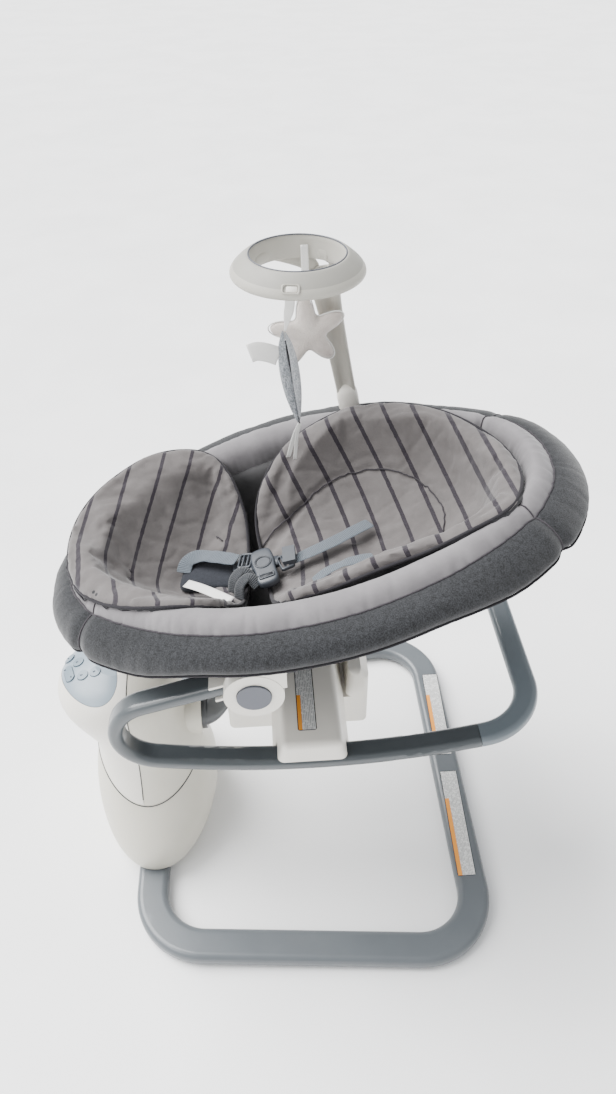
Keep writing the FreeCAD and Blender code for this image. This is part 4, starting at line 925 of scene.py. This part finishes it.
def post():
    """Forked post: a ribbed blade from its socket up to two arms that spread into the ring."""
    foot, top = mm(82, 205, 612), mm(43, 187, 812)
    axis = (top - foot).normalized()
    away = Vector((0.1, 1.0, 0.0))
    place = frame_at(foot, axis, away)
    length = (top - foot).length * 1000
    section = [(-1, -0.55), (-0.92, -1), (-0.5, -1), (-0.3, -0.45), (0, -0.3), (0.3, -0.45), (0.5, -1),
               (0.92, -1), (1, -0.55), (1, 0.6), (0.7, 1), (0, 1.1), (-0.7, 1), (-1, 0.6)]
    stations = [(0.0, 13.5, 6), (0.08, 13, 7), (0.3, 13.5, 7.5), (0.55, 14.5, 8), (0.75, 16, 8.5),
                (0.9, 19, 8), (1.0, 22, 7)]
    rows = [[place(share * length, x * half, y * deep) for x, y in section] for share, half, deep in stations]
    made = piece("mobile_blade", *capped(rows), MOBILE, "mobile", "mobile_greige")
    subdivide(made)
    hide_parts("mobile_post")
    for tag, start, ends in (("left", -12, (152, 128, 112)), ("right", 12, (60, 52, 46))):
        rim_hits = [HALO + mm(55.5 * math.cos(a), 55.5 * math.sin(a), 836) for a in map(math.radians, ends)]
        path = spline([place(length - 14, start, 0), place(length + 4, start * 1.15, 0),
                       rim_hits[2] + mm(0, 3, -3), rim_hits[1], rim_hits[0]], 28)
        rows = []
        for i, p in enumerate(path):
            along = (path[min(i + 1, 27)] - path[max(i - 1, 0)]).normalized()
            up = Vector((0, 0, 1)) - along * along.z
            up = up.normalized()
            side = along.cross(up)
            tall = 9.5 - 2.5 * i / 27
            rows.append([p + (side * (3.2 * math.cos(a)) + up * (tall * math.sin(a))) / 1000
                         for a in turns(12)])
        piece("mobile_arm_" + tag, *capped(rows), MOBILE, "mobile", "mobile_greige")
    cup = [[place(x, math.cos(a) * r, math.sin(a) * r * 0.82) for a in turns(28)]
           for x, r in ((-22, 13), (-8, 14.5), (8, 14.8), (18, 14.2), (25, 11.5), (28, 7), (29, 2))]
    made = piece("post_socket_cap", *capped(cup), WHITE, "seat", "shell_white")
    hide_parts("post_socket")


def plush(name, outline, center, thick, material, body, slot, axes):
    """Stuffed toy half-shells that meet in a seam round an outline; axes give its plane and normal."""
    right, up, out = axes
    levels = (0.2, 0.4, 0.58, 0.74, 0.87, 0.95, 0.985)
    rows = []
    for side in (1, -1):
        for k in (levels if side > 0 else levels[::-1]):
            depth = side * thick * (1 - k ** 2.4) ** 0.5
            rows.append([center + (right * x * k + up * y * k + out * depth) / 1000 for x, y in outline])
        if side > 0:
            rows.append([center + (right * x + up * y) / 1000 for x, y in outline])
    return piece(name, *capped(rows), material, body, slot)


def toys():
    star_center = mm(24, 160, 738)
    yaw = math.radians(8)
    axes = (Vector((math.cos(yaw), math.sin(yaw), 0)), Vector((0, 0, 1)),
            Vector((math.sin(yaw), -math.cos(yaw), 0)))
    outline = []
    for j in range(100):
        angle = math.radians(95 + 3.6 * j)
        wave = (math.cos(5 * (angle - math.radians(95))) + 1) / 2
        reach = 23.5 + 25 * wave ** 1.35
        outline.append((reach * math.cos(angle), reach * math.sin(angle)))
    star = plush("star_plush_body", outline, star_center, 13, STAR_CLOTH, "star", "toy_fabric", axes)
    stuff(star, 0.003, 0.002, 2.0)
    subdivide(star)
    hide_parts("star_toy")
    seam = [star_center + (axes[0] * x + axes[1] * y) * 1.03 / 1000 for x, y in outline]
    tube("star_seam", seam, 0.0009, SATIN, "star", "toy_fabric", True, 6)
    hang = spline([mm(22, 161, 846), mm(22.5, 160.5, 820), mm(23, 160, 800), mm(23.5, 160, 782)], 20)
    ribbon("star_ribbon", hang, [Vector((0.1, -1, 0))] * 20, 0.009, 0.0006, SATIN, "star", "toy_fabric")

    lean = math.radians(7)
    out = Vector((0.1, -1, 0))
    right = Vector((math.cos(lean), 0.1, math.sin(lean)))
    up = Vector((-math.sin(lean), 0, math.cos(lean)))
    center = mm(0, 68, 726)
    left = [(0, 62), (-5, 54), (-9, 42), (-11.5, 26), (-12.5, 8), (-11.5, -12), (-9, -30), (-5, -48),
            (0, -62), (0.8, -40), (1.2, -15), (0.6, 10), (-0.4, 35)]
    lobe_left = spline([Vector((x, y, 0)) for x, y in left], 64, True)
    lobe_right = [Vector((-p.x * 0.82, p.y * 0.97, 0)) for p in reversed(lobe_left)]
    for tag, lobe, cloth in (("dark", lobe_left, LEAF_DARK), ("light", lobe_right, LEAF_LIGHT)):
        shift = sum((p.x for p in lobe)) / len(lobe)
        shape = [(p.x - shift, p.y) for p in lobe]
        spot = center + (right * (shift + (0.3 if shift > 0 else -0.3))) / 1000
        made = plush("leaf_lobe_" + tag, shape, spot, 6.5, cloth, "leaf", "toy_fabric", (right, up, out))
        subdivide(made)
        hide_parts("leaf_toy")
    crease = spline([center + (right * x + up * y + out * 2.6) / 1000
                     for x, y in ((-0.5, 50), (0.4, 20), (1.2, -10), (0.6, -40), (0, -60))], 30)
    tube("leaf_crease", crease, 0.0009, THREAD, "leaf", "toy_fabric", sides=6)
    hang = spline([mm(1, 66, 832), mm(0, 67, 815), mm(-3, 67.5, 800), mm(-6, 68, 786)], 20)
    taper = [1.0 - 0.75 * smooth_step(i, 9, 19) for i in range(20)]
    ribbon("leaf_ribbon", hang, [Vector((0.2, -1, 0))] * 20, 0.0115, 0.0006, SATIN, "leaf", "toy_fabric",
           taper=taper)
    for k, (dx, reach, width) in enumerate(((-13, 46, 0.006), (-5, 50, 0.005))):
        tail = spline([mm(8, 65, 667), mm(6 + dx * 0.4, 63, 650), mm(6 + dx, 62, 667 - reach)], 16)
        ribbon("leaf_tail_%s" % "ab"[k], tail, [Vector((0.4, -1, 0.2 * k))] * 16, width, 0.0005, SATIN,
               "leaf",
               "toy_fabric")
    tag = spline([mm(-14, 64, 757), mm(-26, 62, 763), mm(-38, 61, 766), mm(-47, 60, 764)], 14)
    ribbon("leaf_tag", tag, [Vector((0.1, -0.9, 0.3))] * 14, 0.021, 0.0005, SATIN, "leaf", "toy_fabric")


# ---------------------------------------------------------------- labels and marks
def label_material(name, half_x, half_y, band, band_end, stripe=srgb(232, 150, 52)):
    """Generic sticker: dark border, one orange band and rows of broken grey lines with no lettering."""
    s = Shader(name, 0.35, Coat_Weight=0.3)
    across, along = s.attribute("across"), s.attribute("along")
    rows = s.math("GREATER_THAN", s.math("SINE", s.math("MULTIPLY", across, 2 * math.pi / 2.1)), 0.15)
    breaks = s.math("GREATER_THAN", s.noise(330, 1), 0.44)
    ink = s.math("MULTIPLY", s.math("MULTIPLY", rows, breaks), 0.62)
    colour = s.mix(ink, srgb(214, 214, 212), srgb(70, 70, 74))
    banded = s.math("MULTIPLY", s.math("LESS_THAN", across, -half_x + band),
                    s.math("LESS_THAN", along, band_end))
    colour = s.mix(banded, colour, stripe)
    edge_x = s.math("GREATER_THAN", s.math("ABSOLUTE", across), half_x - 1.2)
    edge_y = s.math("GREATER_THAN", s.math("ABSOLUTE", along), half_y - 1.2)
    colour = s.mix(s.math("MAXIMUM", edge_x, edge_y), colour, srgb(46, 46, 50))
    return s.finish(colour, s.noise(60), 0.0001, 0.1)


def labels():
    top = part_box("bridge_housing")[1].z
    bridge_label = label_material("bridge_label_print", 12, 52, 6, 4)
    patch_on("bridge_label", lambda x, y, z: Vector(((x - 1) / 1000, (y - 106) / 1000, top + z / 1000)),
             12, 52, 0.25,
             bridge_label, "rocker")
    tube_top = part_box("base_loop")[1].z
    for tag, x0, y0, half in (("far", 240, 113, 88), ("near", 234, -98, 91)):
        material = label_material("loop_label_print_" + tag, 14, half, 7.5, 40)

        def place(x, y, z, x0=x0, y0=y0):
            return mm(x + x0 + y * 0.035, y + y0, z) + Vector((0, 0, tube_top))

        patch_on("loop_label_" + tag, place, 14, half, 0.2, material, "base")


def skin_caster(*names):
    """A function that gives the first point of the named CAD nodes met from an origin along a direction."""
    trees = [mesh_tree(NODES[name].data) for name in names]

    def cast(origin, way):
        hits = [hit for hit in (tree.ray_cast(origin, way) for tree in trees) if hit[0] is not None]
        return min(hits, key=lambda hit: hit[3])[0] if hits else None

    return cast


def tower_seams():
    """Dark shut lines: where the two upper shells meet, and round the top edge of the lower housing."""
    split_x, middle_x, middle_z, reach = -240.6, -234, 230, 0.4
    slope = math.tan(math.radians(27))
    collar_level = 133 + 103 * slope - 0.8
    cast = skin_caster("tower_outer_shell", "tower_inner_shell")
    split = []
    for k in range(60):
        angle = math.radians(-42 + 264 * k / 59)
        way = Vector((0, math.cos(angle), math.sin(angle)))
        split.append(cast(mm(split_x, 0, middle_z) + way * reach, -way))
    split = [hit for hit in split if hit is not None]
    tube("tower_split_line", split, 0.0007, DARK, "base", sides=6)
    cast = skin_caster("tower_lower_housing", "tower_outer_shell", "tower_inner_shell")
    collar = []
    for angle in turns(120):
        way = Vector((math.cos(angle), math.sin(angle), math.sin(angle) * slope))
        hit = cast(mm(middle_x, 0, collar_level) + way * 0.35, -way.normalized())
        beside_arm = hit is not None and abs(hit.y) < 0.045 and hit.x > -0.19
        if hit is not None and not beside_arm:
            collar.append(hit)
    start = max(range(len(collar)), key=lambda i: (collar[i] - collar[i - 1]).length)
    collar = collar[start:] + collar[:start]
    tube("tower_collar_line", [p + Vector((0, 0, 0.0006)) for p in collar], 0.0008, DARK, "base", sides=6)


def key_marks():
    """Small generic dashes and dots in place of the symbols on the panel's keys."""
    bodies = frame["record"]["behaviour"]["bodies"]
    for name in ("timer_button", "music_button", "sound_button", "power_button", "speed_rocker",
                 "volume_rocker"):
        low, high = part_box(name)
        middle = (low + high) / 2
        tree = mesh_tree(NODES[name].data)
        spots = [(0.0, 0.0)] if name.endswith("button") else [(-0.3, -0.3), (0.3, 0.3)]
        for k, (sx, sy) in enumerate(spots):
            x = middle.x + sx * (high.x - low.x) * (1 if name == "speed_rocker" else 0)
            y = middle.y - sy * (high.y - low.y)
            hit = tree.ray_cast(Vector((x, y, 0.5)), Vector((0, 0, -1)))
            if hit[0] is None:
                continue
            place = frame_at(hit[0], Vector((1, 0.3, 0)), hit[1])
            shape = rounded_rectangle(3.2, 0.8, 0.7) if k % 2 == 0 else rounded_rectangle(1.6, 1.6, 1.5)
            block("%s_mark_%s" % (name, "ab"[k]), place, shape, ((-0.3, 1.0), (0.15, 1.0), (0.2, 0.8)),
                  KEY_MARK,
                  next(body for body, names in bodies.items() if name in names))


# ---------------------------------------------------------------- camera, light and floor
def lamp(name, kind, energy, direction):
    light = bpy.data.lights.new(name, kind)
    light.energy = energy
    made = bpy.data.objects.new(name, light)
    made.rotation_euler = Vector(direction).to_track_quat("-Z", "Y").to_euler()
    bpy.context.scene.collection.objects.link(made)
    return made


def studio():
    """Camera above the near side, white paper floor, a broad high window and a softbox at the left."""
    camera = bpy.data.objects.new("camera", bpy.data.cameras.new("camera"))
    camera.data.lens = 27.02
    camera.data.sensor_width = 36
    camera.data.clip_start = 0.05
    pitch, roll, yaw = (math.radians(a) for a in (40.8, 1.0, -3.0))
    turn = Matrix.Rotation(yaw, 3, "Z")
    forward = turn @ Vector((0, math.cos(pitch), -math.sin(pitch)))
    right = turn @ Vector((1, 0, 0))
    up = turn @ Vector((0, math.sin(pitch), math.cos(pitch)))
    across = right * math.cos(roll) - up * math.sin(roll)
    upward = up * math.cos(roll) + right * math.sin(roll)
    rotation = Matrix((across, upward, -forward)).transposed()
    camera.matrix_world = Matrix.Translation((-0.029, -0.780, 1.200)) @ rotation.to_4x4()
    bpy.context.scene.collection.objects.link(camera)
    bpy.context.scene.camera = camera

    s = Shader("floor_paper", 0.9, Specular_IOR_Level=0.1)
    tone = s.mix(s.remap(s.noise(3, 2), 0.4, 0.6), srgb(247, 247, 247), srgb(252, 252, 252))
    paper = s.finish(tone, s.noise(400), 0.0001, 0.05)
    verts = [(-30, -30, 0), (30, -30, 0), (30, 30, 0), (-30, 30, 0)]
    mesh = bpy.data.meshes.new("floor")
    mesh.from_pydata(verts, [], [(0, 1, 2, 3)])
    mesh.materials.append(paper)
    floor = bpy.data.objects.new("floor", mesh)
    bpy.context.scene.collection.objects.link(floor)

    world = bpy.data.worlds.new("studio")
    world.use_nodes = True
    world.node_tree.nodes["Background"].inputs["Color"].default_value = (0.96, 0.98, 1.0, 1)
    world.node_tree.nodes["Background"].inputs["Strength"].default_value = 0.9
    bpy.context.scene.world = world
    window = lamp("window", "SUN", 9.5, (0.62, -0.36, -0.95))
    window.data.angle = math.radians(50)
    softbox = lamp("softbox", "AREA", 16, (1.3, 0.9, -1.1))
    softbox.data.size = 0.9
    softbox.location = (-1.3, -0.9, 1.5)


# ---------------------------------------------------------------- build the scene
studio()
rim()
bucket()
leg = cushion("leg_cushion_cover", (-165, 5, -84), LEG_EDGE, LEG_SEAM, "leg_cushion", LEG_CLOTH, leg_lines,
              0.6)
head = cushion("head_cushion_cover", (70, 5, -86), HEAD_EDGE, HEAD_SEAM, "head_cushion", HEAD_CLOTH,
               head_lines,
               0.0)
harness([leg, head])
mobile()
toys()
labels()
tower_seams()
key_marks()
